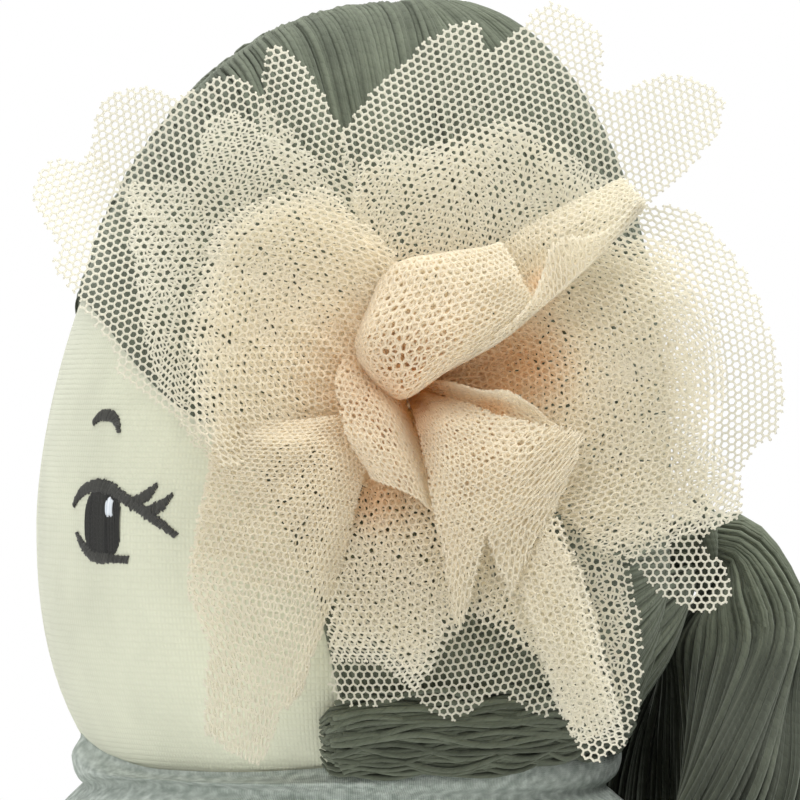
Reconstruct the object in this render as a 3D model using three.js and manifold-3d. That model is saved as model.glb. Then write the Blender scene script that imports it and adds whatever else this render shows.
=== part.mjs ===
// A soft textile doll, standing: egg-shaped stuffed head, yarn hair in a ponytail, a tulle flower at the
// left side of the head, a cowl collar and sweater over a stuffed body, arms and legs hung on disc joints,
// felt shoes.
// Millimetres, +Z up, the face towards -Y and the doll's own left towards +X.
import * as THREE from 'three';
import { mergeVertices } from 'three/addons/utils/BufferGeometryUtils.js';
import { TessellateModifier } from 'three/addons/modifiers/TessellateModifier.js';
import Module from 'manifold-3d';

const wasm = await Module();
wasm.setup();

// Driving dimensions
const GAP = 0.35; // between pieces that touch
const AXIS = { x: -2, y: -17.5 }; // the upright axis of head and body, from the middle of the doll's box
const SOLE = { toe: 38, heel: 31, halfWidth: 17.5, thickness: 4 };
const SHOE = { height: 30, rim: 2.6, footHeight: 5 };
const LEG = { hipHeight: 119.5, hipRadius: 14, calfRadius: 12.6, ankleRadius: 10.5, stance: 24, y: 3 };
const SEAT = { height: 14.6, halfWidth: 41, halfDepth: 35, tongueHalf: 8, tongueRadius: 13 };
const TORSO = { height: 127.6, bellyHalf: 50.5, bellyDepth: 44, shoulderHalf: 41.5, shoulderDepth: 35 };
const NECKLINE = { radius: 33, below: 6.4, faceRadius: 13.5 }; // rim of the sweater under the collar
const KNIT = { wall: 1.5, hem: 2.6, hemHeight: 14.2, ribs: 30, ribDepth: 0.7 };
const ARM = { drop: 25.5, length: 117, radius: 12, wristRadius: 8.6, handRadius: 9.6, splay: 10 };
const SLEEVE = { end: 86, share: 0.77 }; // below the hinge, and its width there as a share of the arm's
const CUFF = { height: 13, thickness: 2.2 };
const HEAD = { radius: 55.6, rise: 91, drop: 65, chinCut: 2, lean: 8.5, skin: 1.4, neckHole: 3.2 };
const EYE = { azimuth: 31, height: 0.4, halfWidth: 4.7, halfHeight: 6.4, felt: 0.7, finest: 4.2 };
const HAIR = { seat: 0.75, thickness: 1.8, parting: 0.5, bundleHeight: 15, bundleThickness: 8 };
const TAIL = { rootRadius: 5.5, rootDrop: 4.5, collarRoom: 1.8, thickness: 35, length: 130 };
const TIE = { tube: 1.6, offset: 2.4 };
const COLLAR = { rollTop: 38.3, rollOut: 49.4, crease: 46.6, foldOut: 56, seat: 0.5 };
const COLLAR_FOLD = { wave: 1.2, count: 5 };
const DISC = { radius: 7.5, thickness: 2, depth: 5.4, bore: 1.95 };
const PIN = { radius: 1.5, head: 3.3, anchor: 6, thickness: 1.4 };
const FLOWER = { azimuth: 80, back: 10.6, rise: 22.7, sheet: 0.8, root: 3, layer: 1.25, spread: 0.055 };
const FELT = { radius: 17, thickness: 2 };
const STITCH = { head: 3.8, headThickness: 2.4, shaft: 2.5 };
const RUFFLE = { depth: 4.5, lower: 1.6, waves: 7, start: 12, reach: 60 };
const BOW = { below: 0.0014, above: 0.0052, power: 0.8 }; // per mm, beyond the felt backing

// Heights that follow from the driving dimensions
const hipZ = LEG.hipHeight;
const seatZ = hipZ + LEG.hipRadius + GAP;
const torsoZ = seatZ + SEAT.height + GAP;
const neckZ = seatZ + TORSO.height;
const shoulderZ = neckZ - ARM.drop;
const headZ = neckZ + GAP + HEAD.drop - HEAD.chinCut;
const necklineZ = neckZ - NECKLINE.below;
const hairGrow = HAIR.seat + HAIR.thickness;
const turn = Math.PI * 2;
const degree = Math.PI / 180;

function finish(color, roughness, metalness = 0) {
  return new THREE.MeshStandardMaterial({ color, roughness, metalness });
}

const FINISH = {
  skin: finish(0xdedec6, 0.9),
  stuffing: finish(0xf2efe6, 1),
  feltBlack: finish(0x2e2e30, 0.95),
  threadWhite: finish(0xf4f4f0, 0.6),
  yarn: finish(0x5f6a5c, 0.95),
  elastic: finish(0x3c4238, 0.8),
  tulle: finish(0xeedcc2, 0.7),
  felt: finish(0xe8d8c0, 1),
  melange: finish(0x96a096, 0.95),
  trousers: finish(0x6d756d, 0.95),
  shoeFelt: finish(0xcbb9a0, 0.95),
  sole: finish(0x8a7660, 0.8),
  fibreboard: finish(0x9b7b55, 0.8),
  steel: finish(0xb9bcc0, 0.35, 1),
};

const doll = new THREE.Group();
doll.position.set(AXIS.x, AXIS.y, 0);

function piece(name, geometry, material) {
  const mesh = new THREE.Mesh(geometry, material);
  mesh.name = name;
  doll.add(mesh);
  return mesh;
}

// Shape helpers

const point = (x, y, z) => new THREE.Vector3(x, y, z);
const mix = THREE.MathUtils.lerp;
const smooth = THREE.MathUtils.smoothstep;

// Value at x on a smooth line through [x, value] pairs
function through(pairs, x) {
  const last = pairs.length - 1;
  if (x <= pairs[0][0]) return pairs[0][1];
  if (x >= pairs[last][0]) return pairs[last][1];
  const k = pairs.findIndex((pair) => pair[0] > x) - 1;
  const [x0, y0] = pairs[k];
  const [x1, y1] = pairs[k + 1];
  const slope = (i) => {
    if (i <= 0 || i >= last) return 0;
    return (pairs[i + 1][1] - pairs[i - 1][1]) / (pairs[i + 1][0] - pairs[i - 1][0]);
  };
  const t = (x - x0) / (x1 - x0);
  const span = x1 - x0;
  const cubic = (2 * t ** 3 - 3 * t ** 2 + 1) * y0 + (3 * t ** 2 - 2 * t ** 3) * y1;
  return cubic + (t ** 3 - 2 * t ** 2 + t) * span * slope(k) + (t ** 3 - t ** 2) * span * slope(k + 1);
}

function geometryOf(positions, indices) {
  const geometry = new THREE.BufferGeometry();
  geometry.setAttribute('position', new THREE.Float32BufferAttribute(positions, 3));
  geometry.setIndex(indices);
  if (signedVolume(geometry) < 0) {
    for (let i = 0; i < indices.length; i += 3) {
      [indices[i], indices[i + 1]] = [indices[i + 1], indices[i]];
    }
    geometry.setIndex(indices);
  }
  geometry.computeVertexNormals();
  return geometry;
}

function signedVolume(geometry) {
  const at = geometry.getAttribute('position');
  const index = geometry.getIndex();
  const [a, b, c] = [point(), point(), point()];
  let sum = 0;
  for (let i = 0; i < index.count; i += 3) {
    a.fromBufferAttribute(at, index.getX(i));
    b.fromBufferAttribute(at, index.getX(i + 1));
    c.fromBufferAttribute(at, index.getX(i + 2));
    sum += a.dot(b.cross(c));
  }
  return sum / 6;
}

// A closed skin over a row of rings. A ring of one point closes an end as a pole, another end is capped flat.
// With loop set, the last ring joins the first, as on a collar or a cuff.
function loft(rings, loop = false) {
  const positions = [];
  const indices = [];
  const starts = [];
  for (const ring of rings) {
    starts.push(positions.length / 3);
    ring.forEach((p) => positions.push(p.x, p.y, p.z));
  }
  const bands = loop ? rings.length : rings.length - 1;
  for (let k = 0; k < bands; k++) {
    const next = (k + 1) % rings.length;
    const [a, b] = [rings[k].length, rings[next].length];
    const count = Math.max(a, b);
    for (let i = 0; i < count; i++) {
      const j = (i + 1) % count;
      if (a > 1) indices.push(starts[k] + i, starts[k] + j, starts[next] + (b > 1 ? j : 0));
      if (b > 1) indices.push(starts[k] + (a > 1 ? i : 0), starts[next] + j, starts[next] + i);
    }
  }
  if (!loop) {
    capRing(rings[0], starts[0], positions, indices, true);
    capRing(rings.at(-1), starts.at(-1), positions, indices, false);
  }
  return geometryOf(positions, indices);
}

function capRing(ring, start, positions, indices, first) {
  if (ring.length === 1) return;
  const middle = ring.reduce((sum, p) => sum.add(p), point(0, 0, 0)).divideScalar(ring.length);
  const centre = positions.length / 3;
  positions.push(middle.x, middle.y, middle.z);
  ring.forEach((_, i) => {
    const j = (i + 1) % ring.length;
    if (first) indices.push(centre, start + j, start + i);
    else indices.push(centre, start + i, start + j);
  });
}

// A closed slab between two grids of points, given as rows of equal length
function slab(front, back) {
  const rows = front.length;
  const cols = front[0].length;
  const positions = [];
  const indices = [];
  [...front, ...back].forEach((row) => row.forEach((p) => positions.push(p.x, p.y, p.z)));
  const at = (side, r, c) => side * rows * cols + r * cols + c;
  const quad = (a, b, c, d) => indices.push(a, b, c, a, c, d);
  for (let r = 0; r + 1 < rows; r++) {
    for (let c = 0; c + 1 < cols; c++) {
      quad(at(0, r, c), at(0, r, c + 1), at(0, r + 1, c + 1), at(0, r + 1, c));
      quad(at(1, r, c), at(1, r + 1, c), at(1, r + 1, c + 1), at(1, r, c + 1));
    }
    quad(at(0, r, 0), at(0, r + 1, 0), at(1, r + 1, 0), at(1, r, 0));
    quad(at(0, r + 1, cols - 1), at(0, r, cols - 1), at(1, r, cols - 1), at(1, r + 1, cols - 1));
  }
  for (let c = 0; c + 1 < cols; c++) {
    quad(at(0, 0, c + 1), at(0, 0, c), at(1, 0, c), at(1, 0, c + 1));
    quad(at(0, rows - 1, c), at(0, rows - 1, c + 1), at(1, rows - 1, c + 1), at(1, rows - 1, c));
  }
  return geometryOf(positions, indices);
}

const ringOf = (count, place) => Array.from({ length: count }, (_, i) => place((i / count) * turn));
const ellipse = (count, x, y, z, halfX, halfY) =>
  ringOf(count, (a) => point(x + halfX * Math.cos(a), y + halfY * Math.sin(a), z));
const steps = (count, place) => Array.from({ length: count + 1 }, (_, i) => place(i / count));

function solidOf(geometry) {
  const bare = geometry.clone();
  bare.deleteAttribute('normal');
  bare.deleteAttribute('uv');
  const merged = mergeVertices(bare);
  const vertProperties = new Float32Array(merged.getAttribute('position').array);
  const triVerts = new Uint32Array(merged.getIndex().array);
  return new wasm.Manifold(new wasm.Mesh({ numProp: 3, vertProperties, triVerts }));
}

function geometryFrom(solid) {
  const mesh = solid.getMesh();
  return geometryOf(Array.from(mesh.vertProperties), Array.from(mesh.triVerts));
}

const cut = (geometry, ...tools) =>
  geometryFrom(tools.reduce((rest, tool) => rest.subtract(solidOf(tool)), solidOf(geometry)));
const join = (...geometries) =>
  geometryFrom(geometries.map(solidOf).reduce((sum, solid) => sum.add(solid)));

// A round bar along X from x0 to x1
function barX(radius, x0, x1, y, z, sides = 12) {
  const bar = new THREE.CylinderGeometry(radius, radius, Math.abs(x1 - x0), sides);
  bar.rotateZ(Math.PI / 2);
  bar.translate((x0 + x1) / 2, y, z);
  return bar;
}

function barZ(radius, z0, z1, x = 0, y = 0, sides = 14) {
  const bar = new THREE.CylinderGeometry(radius, radius, z1 - z0, sides);
  bar.rotateX(Math.PI / 2);
  bar.translate(x, y, (z0 + z1) / 2);
  return bar;
}

// The head: an egg, a little pointed at the crown, whose upper half leans back

function headRadius(z, grow = 0) {
  const rise = z - headZ;
  const radius = HEAD.radius + grow;
  if (rise >= 0) return radius * Math.max(0, 1 - (rise / (HEAD.rise + grow)) ** 1.8) ** 0.4;
  return radius * Math.sqrt(Math.max(0, 1 - (-rise / (HEAD.drop + grow)) ** 2.5));
}

const headLean = (z) => HEAD.lean * Math.max(0, (z - headZ) / HEAD.rise) ** 1.4;

// Azimuth 0 is the middle of the face, 90 the doll's left ear, in degrees
function headPoint(azimuth, z, grow = 0) {
  const r = headRadius(z, grow);
  const a = azimuth * degree;
  return point(r * Math.sin(a), -r * Math.cos(a) + headLean(z), z);
}

const HEAD_SIDES = 24;
const headRing = (z, grow) =>
  Array.from({ length: HEAD_SIDES }, (_, i) => headPoint((i * 360) / HEAD_SIDES, z, grow));
const headLevels = [-0.9, -0.76, -0.58, -0.38, -0.16, 0.06, 0.28, 0.48, 0.65, 0.79, 0.9, 0.97];
const headLevel = (share, grow) => headZ + share * ((share < 0 ? HEAD.drop : HEAD.rise) + grow);

// Rings from the chin face up to the crown of the head grown by a distance
function headRings(grow) {
  const chin = headZ - HEAD.drop + HEAD.chinCut - Math.min(0, grow);
  const rings = [headRing(chin, grow)];
  headLevels.forEach((share) => rings.push(headRing(headLevel(share, grow), grow)));
  rings.push([point(0, headLean(headZ + HEAD.rise), headZ + HEAD.rise + grow)]);
  return rings;
}

function buildHead() {
  const outer = headRings(0);
  const inner = headRings(-HEAD.skin);
  const hole = (z) =>
    ringOf(HEAD_SIDES, (a) => point(HEAD.neckHole * Math.sin(a), -HEAD.neckHole * Math.cos(a), z));
  const chin = outer[0][0].z;
  piece('head_skin', loft([...inner.reverse(), hole(chin + HEAD.skin), hole(chin), ...outer]), FINISH.skin);

  const core = loft(headRings(-HEAD.skin - GAP));
  const floor = chin + HEAD.skin + GAP;
  const pocketTop = floor + DISC.thickness + PIN.thickness + 3 * GAP;
  piece('head_stuffing', cut(core, barZ(DISC.radius + 2 * GAP, floor - 1, pocketTop)), FINISH.stuffing);

  const discFloor = floor;
  const disc = cut(
    barZ(DISC.radius, discFloor, discFloor + DISC.thickness),
    barZ(DISC.bore, discFloor - 1, discFloor + DISC.thickness + 1),
  );
  piece('neck_disc', disc, FINISH.fibreboard);

  const headBase = discFloor + DISC.thickness + GAP;
  const anchorTop = neckZ - DISC.depth - GAP;
  const shaft = barZ(PIN.radius, anchorTop - PIN.thickness / 2, headBase + PIN.thickness / 2);
  const upper = barZ(PIN.head, headBase, headBase + PIN.thickness);
  const lower = barZ(PIN.anchor, anchorTop - PIN.thickness, anchorTop);
  piece('neck_pin', join(shaft, upper, lower), FINISH.steel);
}

// Eyes and brows: felt cut-outs drawn flat as arc length and height about the iris, bent round the head

// A tapering stroke along [across, up, half width] stations
function stroke(stations) {
  const left = [];
  const right = [];
  stations.forEach(([u, v, half], i) => {
    const before = stations[Math.max(0, i - 1)];
    const after = stations[Math.min(stations.length - 1, i + 1)];
    const along = new THREE.Vector2(after[0] - before[0], after[1] - before[1]).normalize();
    left.push(new THREE.Vector2(u - along.y * half, v + along.x * half));
    right.unshift(new THREE.Vector2(u + along.y * half, v - along.x * half));
  });
  return new THREE.Shape([...left, ...right]);
}

function oval(u, v, halfU, halfV) {
  const shape = new THREE.Shape();
  shape.absellipse(u, v, halfU, halfV, 0, turn, false, 0);
  return shape;
}

function feltOn(shapes, side, seat, thickness) {
  const options = { depth: thickness, bevelEnabled: false, curveSegments: 6 };
  const flat = shapes.map((shape) => new THREE.ExtrudeGeometry(shape, options));
  const sheet = new TessellateModifier(EYE.finest, 6).modify(join(...flat).toNonIndexed());
  const at = sheet.getAttribute('position');
  for (let i = 0; i < at.count; i++) {
    const z = headZ + EYE.height + at.getY(i);
    const azimuth = side * (EYE.azimuth + at.getX(i) / (HEAD.radius * degree));
    const p = headPoint(azimuth, z, seat + at.getZ(i));
    at.setXYZ(i, p.x, p.y, p.z);
  }
  sheet.deleteAttribute('normal');
  sheet.deleteAttribute('uv');
  const merged = mergeVertices(sheet);
  return geometryOf(Array.from(merged.getAttribute('position').array), Array.from(merged.getIndex().array));
}

const EYE_STROKES = [
  [[-8.9, 2.6, 0.5], [-7.2, 4.9, 0.8], [-4.4, 6.6, 1], [-1, 7.1, 1.1], [2.2, 6.3, 1.1], [4.8, 4.8, 1],
    [8.7, 3.2, 0.9], [12.6, 1.2, 0.8], [17.7, -1.9, 0.5]],
  [[8.2, 3, 0.7], [10.8, 4.8, 0.7], [13.2, 6.6, 0.4]],
  [[12, 1.3, 0.8], [14.4, 3.2, 0.8], [16.6, 5, 0.4]],
  [[-7.8, -1.8, 0.4], [-6.4, -3.4, 0.6], [-4.3, -5, 0.8], [-1.4, -6.6, 0.9], [1.8, -7, 0.8],
    [7.1, -6.6, 0.5]],
];
const BROW = [[-4.7, 16.8, 0.7], [-3.4, 18.5, 0.9], [-1, 19.2, 0.9], [1.6, 18, 0.9], [3.4, 15.7, 0.6]];
const SHINE = { u: 2.1, v: 2.5, halfU: 1, halfV: 1.6, thickness: 0.5 };

function buildFace(side, name) {
  const eye = [oval(0, 0, EYE.halfWidth, EYE.halfHeight), ...EYE_STROKES.map(stroke)];
  piece(`eye_${name}`, feltOn(eye, side, GAP, EYE.felt), FINISH.feltBlack);
  const shine = [oval(SHINE.u, SHINE.v, SHINE.halfU, SHINE.halfV)];
  piece(`eye_shine_${name}`, feltOn(shine, side, EYE.felt + 2 * GAP, SHINE.thickness), FINISH.threadWhite);
  piece(`brow_${name}`, feltOn([stroke(BROW)], side, GAP, EYE.felt), FINISH.feltBlack);
}

// Hair: a layer of yarn from the parting down to the hairline, a bundle along the nape, and the ponytail

// Height of the hair's lower edge over the head's widest level, by azimuth in degrees
const HAIRLINE = [
  [0, 40], [20, 36], [32, 30], [45, 22], [55, 17], [63, 13], [70, 1], [76, -12], [80, -25], [180, -25],
];
const HAIR_AZIMUTHS = [
  0, 9, 18, 27, 36, 45, 53, 60, 66, 71, 75, 80, 90, 100, 110, 120, 131, 142, 155, 168, 180,
];
const HAIR_ROWS = 10;

function buildHairHalf(side, name) {
  const grid = (grow) =>
    steps(HAIR_ROWS, (t) =>
      HAIR_AZIMUTHS.map((azimuth) => {
        const low = headZ + through(HAIRLINE, azimuth);
        const top = headZ + (HEAD.rise + grow) * 0.9999;
        const z = low + (top - low) * Math.sin(t * 90 * degree) ** 0.9;
        const p = headPoint(side * azimuth, z, grow);
        p.x += side * HAIR.parting;
        return p;
      }),
    );
  piece(`hair_${name}`, slab(grid(hairGrow), grid(HAIR.seat)), FINISH.yarn);
}

const bundleZ = headZ - HEAD.drop + HEAD.chinCut + 28;
const bundleR = headRadius(bundleZ) + HAIR.seat + HAIR.bundleThickness / 2;

// How full the bundle is, as a share, by azimuth in degrees
const BUNDLE_SIZE = [
  [75, 0], [77, 0.6], [81, 0.9], [88, 1], [100, 1], [112, 0.95], [124, 0.7], [138, 0.45], [152, 0.4], [163, 0],
];

function buildNapeBundle(side, name) {
  const lay = BUNDLE_SIZE.map(([azimuth, size]) => {
    const a = azimuth * degree;
    const place = (across, up) => {
      const thick = HAIR.bundleThickness / 2;
      const r = bundleR + 0.3 * up - thick * (1 - Math.min(1, size * 1.15)) + across;
      return point(side * r * Math.sin(a), -r * Math.cos(a), bundleZ + up);
    };
    if (size === 0) return [place(0, 0)];
    const tall = (HAIR.bundleHeight / 2) * Math.sqrt(size);
    const deep = (HAIR.bundleThickness / 2) * size;
    const ring = ringOf(10, (b) => place(deep * Math.sin(b), tall * Math.cos(b)));
    return side > 0 ? ring : ring.reverse();
  });
  piece(`hair_nape_${name}`, loft(lay), FINISH.yarn);
}

const tailZ = headZ - TAIL.rootDrop;
const tailY = headRadius(tailZ) + hairGrow + GAP + TAIL.rootRadius;

function buildPonytail() {
  const sides = 18;
  const root = TAIL.rootRadius;
  // Rounded root, then sections square to the bend: [back, down, slope in degrees, half width, half depth]
  const bend = [
    [-0.71 * root, 0, 0, 0.71 * root, 0.71 * root], [0, 0, 0, root, root], [4.6, 0, 0, root, root],
    [7.4, 1.2, -25, 8, 6.4], [10, 6, -52, 13, 7.6], [11.8, 15, -74, 18, 9.4],
  ];
  const rings = [[point(0, tailY - root, tailZ)]];
  bend.forEach(([back, down, slope, halfWidth, half]) => {
    const [s, c] = [Math.sin(slope * degree), Math.cos(slope * degree)];
    rings.push(ringOf(sides, (a) => {
      const out = half * Math.sin(a);
      return point(halfWidth * Math.cos(a), tailY + back - s * out, tailZ - down + c * out);
    }));
  });
  // Hanging part, wrapped round the collar: [share of the length, half angle in degrees, share of the depth]
  const inner = COLLAR.foldOut + COLLAR_FOLD.wave + TAIL.collarRoom;
  const hang = [
    [0.2, 25, 0.66], [0.29, 44, 0.92], [0.39, 55, 1], [0.49, 52, 1], [0.6, 40, 0.95], [0.74, 30, 0.85],
    [0.87, 23, 0.66], [0.95, 14, 0.4],
  ];
  hang.forEach(([share, angle, thick]) => {
    const half = (TAIL.thickness * thick) / 2;
    const middle = inner + TAIL.thickness / 2 - 0.3 * (TAIL.thickness / 2 - half);
    rings.push(ringOf(sides, (a) => {
      const azimuth = angle * degree * Math.cos(a);
      const r = middle + half * Math.sin(a);
      return point(r * Math.sin(azimuth), r * Math.cos(azimuth), tailZ - share * TAIL.length);
    }));
  });
  rings.push([point(0, inner + TAIL.thickness / 2, tailZ - TAIL.length)]);
  piece('ponytail', loft(rings), FINISH.yarn);

  const tie = new THREE.TorusGeometry(TAIL.rootRadius + GAP + TIE.tube, TIE.tube, 6, 16);
  tie.rotateX(Math.PI / 2);
  tie.translate(0, tailY + TIE.offset, tailZ);
  tie.deleteAttribute('uv');
  piece('hair_tie', geometryFrom(solidOf(tie)), FINISH.elastic);
}

// The flower: tulle layers about a stitched centre, on a felt backing at the side of the head

const facing = FLOWER.azimuth * degree;
const outward = point(Math.sin(facing), -Math.cos(facing), 0);
const sideways = point(Math.cos(facing), Math.sin(facing), 0);
const flowerZ = headZ + FLOWER.rise;

// How far out the hair's surface lies in front of a place on the flower's plane
function hairDepth(across, up) {
  const z = flowerZ + up;
  const r = headRadius(z, hairGrow);
  const off = FLOWER.back + across - headLean(z) * Math.sin(facing);
  return Math.sqrt(Math.max(0, r * r - off * off)) - headLean(z) * Math.cos(facing);
}

const feltRim = ringOf(24, (a) => hairDepth(FELT.radius * Math.cos(a), FELT.radius * Math.sin(a)));
const feltDepth = Math.max(hairDepth(0, 0), ...feltRim) + GAP;
const petalDepth = feltDepth + FELT.thickness + GAP;

function flowerPoint(angle, radius, depth) {
  const a = angle * degree;
  const p = point(0, 0, flowerZ + radius * Math.sin(a));
  p.addScaledVector(sideways, FLOWER.back + radius * Math.cos(a));
  return p.addScaledVector(outward, depth);
}

// Depth of a layer: bowed back with the head above and beside the centre, level below it, ruffled at the rim
function layerDepth(level, angle, radius) {
  const upper = (1 + Math.sin(angle * degree)) / 2;
  const beyond = Math.max(0, radius - RUFFLE.start);
  const bow = (BOW.below - BOW.above * upper ** BOW.power) * beyond * beyond;
  const rim = (beyond / (RUFFLE.reach - RUFFLE.start)) ** 2;
  const depth = mix(RUFFLE.lower, RUFFLE.depth, upper);
  const ruffle = depth * rim * Math.sin(RUFFLE.waves * angle * degree);
  return petalDepth + level * (FLOWER.layer + FLOWER.spread * radius) + bow + ruffle;
}

// Each petal: its layer, how far its middle arches out, and its rim as [angle in degrees, radius]
const PETALS = {
  petal_left_lobes: { layer: 0, arch: 0, rim: [
    [142, 64], [149, 71], [154, 68], [159, 62], [168, 53], [180, 45], [202, 31],
  ] },
  petal_tongue: { layer: 0, arch: 1, rim: [[103, 42], [107, 57], [111, 62], [115, 57], [118, 50]] },
  petal_right: { layer: 0, arch: 0, rim: [
    [339, 58], [344, 59], [350, 60], [0, 63], [10, 62], [20, 61], [30, 57], [36, 52],
  ] },
  petal_bottom: { layer: 0, arch: 0, rim: [
    [252, 45], [257, 53], [265, 51], [272, 51], [279, 56], [288, 53], [298, 58],
  ] },
  petal_upper_left: { layer: 1, arch: 0, rim: [
    [112, 48], [118, 59], [126, 62], [134, 70], [141, 68], [150, 60],
  ] },
  petal_upper_right: { layer: 1, arch: 0, rim: [
    [37, 54], [41, 71], [47, 72], [53, 62], [58, 61], [65, 70], [70, 69], [75, 59], [80, 63], [88, 58],
    [97, 50], [102, 44],
  ] },
  petal_lower_right: { layer: 1, arch: 0, rim: [[325, 58], [329, 64], [333, 57], [342, 58]] },
  petal_side_strip: { layer: 1, arch: 0, rim: [[299, 66], [303, 68], [309, 63], [319, 50]] },
  petal_drape: { layer: 1, arch: 2, rim: [
    [208, 36], [221, 48], [230, 53], [239, 66], [245, 68], [249, 62],
  ] },
  petal_mid_left: { layer: 2, arch: 0, rim: [
    [104, 40], [119, 51], [126, 60], [138, 59], [148, 57], [160, 51], [187, 38],
  ] },
  petal_mid_right: { layer: 2, arch: 0, rim: [
    [331, 46], [338, 58], [346, 57], [359, 54], [15, 54], [27, 51], [36, 44],
  ] },
  petal_bottom_mid: { layer: 2, arch: 0, rim: [
    [252, 39], [264, 39], [272, 49], [281, 42], [289, 41], [297, 52], [303, 55],
  ] },
  petal_mid_upper: { layer: 3, arch: 0, rim: [
    [38, 51], [50, 49], [60, 50], [68, 50], [76, 46], [88, 41], [99, 39],
  ] },
  petal_strip: { layer: 3, arch: 3, rim: [[296, 60], [299, 68], [304, 62], [312, 46], [319, 36]] },
  petal_front_left: { layer: 4, arch: 0.4, rim: [
    [94, 25], [107, 33], [114, 38], [127, 40], [140, 42], [155, 39], [180, 36], [192, 34],
  ] },
  petal_cone_left: { layer: 4, arch: 4, rim: [[204, 12], [225, 13], [248, 16], [270, 20], [280, 21]] },
  petal_front_roll: { layer: 5, arch: 7, rim: [
    [38, 26], [50, 26], [62, 26], [84, 22], [100, 20], [118, 14], [134, 12],
  ] },
  petal_cone_right: { layer: 5, arch: 4, rim: [
    [282, 38], [286, 41], [291, 32], [298, 37], [304, 34], [320, 31], [340, 29], [352, 20],
  ] },
};
const PETAL_ROWS = 5;
const PETAL_STEP = 7; // degrees between the lines of a petal's mesh

function buildPetal(name, { layer, arch, rim }) {
  const unrolled = rim.map(([angle, radius]) => [angle < rim[0][0] ? angle + 360 : angle, radius]);
  const [from, to] = [unrolled[0][0], unrolled.at(-1)[0]];
  const cols = Math.max(6, Math.round((to - from) / PETAL_STEP));
  const grid = (lift) =>
    steps(PETAL_ROWS, (v) =>
      steps(cols, (u) => {
        const angle = mix(from, to, u);
        const radius = mix(FLOWER.root, through(unrolled, angle), v ** 0.9);
        const swell = arch * Math.sin(Math.PI * u) * Math.sin(Math.PI * 0.9 * v ** 1.3);
        return flowerPoint(angle, radius, layerDepth(layer, angle, radius) + swell + lift);
      }),
    );
  piece(name, slab(grid(FLOWER.sheet), grid(0)), FINISH.tulle);
}

function buildFlower() {
  const disc = (radius, from, to, sides) => {
    const ring = (depth) => ringOf(sides, (a) => flowerPoint(a / degree, radius, depth));
    return loft([ring(from), ring(to)]);
  };
  piece('flower_felt', disc(FELT.radius, feltDepth, feltDepth + FELT.thickness, 24), FINISH.felt);
  Object.entries(PETALS).forEach(([name, petal]) => buildPetal(name, petal));
  const layers = 1 + Math.max(...Object.values(PETALS).map((petal) => petal.layer));
  const top = petalDepth + layers * (FLOWER.layer + FLOWER.spread * FLOWER.root) + FLOWER.sheet;
  const shaft = disc(STITCH.shaft, feltDepth + FELT.thickness + GAP, top + 1, 14);
  const knot = disc(STITCH.head, top, top + STITCH.headThickness, 14);
  piece('flower_stitch', join(shaft, knot), FINISH.threadWhite);
}

// The collar: a rolled neckband against the head over a wider loose fold, both one ring of jersey

const COLLAR_SIDES = 30;

function buildCollar() {
  const top = headZ - COLLAR.rollTop;
  const low = necklineZ + GAP + KNIT.wall;
  const head = (z) => headRadius(z) + COLLAR.seat;
  const inner = [top - 0.2, top - 4, top - 8, top - 12].map((z) => [head(z), z]);
  const profile = [
    [NECKLINE.radius - 1, low], [NECKLINE.radius + 6, low], [COLLAR.foldOut - 7, low + 1],
    [COLLAR.foldOut - 2, low + 4], [COLLAR.foldOut, low + 9], [COLLAR.foldOut - 2.4, low + 14],
    [COLLAR.crease + 2, top - 10.6], [COLLAR.crease, top - 9], [COLLAR.rollOut - 0.8, top - 7],
    [COLLAR.rollOut, top - 3.6], [COLLAR.rollOut - 0.2, top - 1], [head(top) + 0.6, top], ...inner,
    [NECKLINE.radius, low + 8],
  ];
  const rings = profile.map(([r, z]) =>
    ringOf(COLLAR_SIDES, (a) => {
      const loose = smooth(r, COLLAR.crease + 2, COLLAR.foldOut);
      const fold = loose * COLLAR_FOLD.wave * Math.sin(COLLAR_FOLD.count * a);
      return point((r + fold) * Math.cos(a), (r + fold) * Math.sin(a), z);
    }),
  );
  piece('collar', loft(rings, true), FINISH.melange);
}

// The body: stuffed torso in a sweater, on a trouser seat whose tongue carries both legs

// Share of the height, half width and half depth
const TORSO_SHAPE = [
  [0, SEAT.halfWidth + 3, SEAT.halfDepth + 3],
  [0.14, TORSO.bellyHalf - 1.5, TORSO.bellyDepth - 1],
  [0.32, TORSO.bellyHalf, TORSO.bellyDepth],
  [0.5, TORSO.bellyHalf - 3, TORSO.bellyDepth - 2],
  [0.66, TORSO.shoulderHalf + 1.8, TORSO.shoulderDepth + 4],
  [0.78, TORSO.shoulderHalf, TORSO.shoulderDepth],
  [0.87, TORSO.shoulderHalf, TORSO.shoulderDepth - 1],
  [0.95, TORSO.shoulderHalf - 3, TORSO.shoulderDepth - 2],
  [1, NECKLINE.radius, NECKLINE.radius - 1],
];
const TORSO_SIDES = 24;

function torsoRings(inset) {
  return TORSO_SHAPE.map(([share, halfX, halfY]) =>
    ellipse(TORSO_SIDES, 0, 0, mix(torsoZ, necklineZ, share), halfX - inset, halfY - inset));
}

function shoulderTools(side) {
  const face = side * TORSO.shoulderHalf;
  const pocket = side * DISC.depth;
  const deep = side * (PIN.thickness + 2 * GAP);
  return [
    barX(DISC.bore, face - pocket - deep / 2, face + side * 5, 0, shoulderZ),
    barX(PIN.anchor + GAP, face - pocket - deep, face - pocket, 0, shoulderZ),
  ];
}

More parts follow.
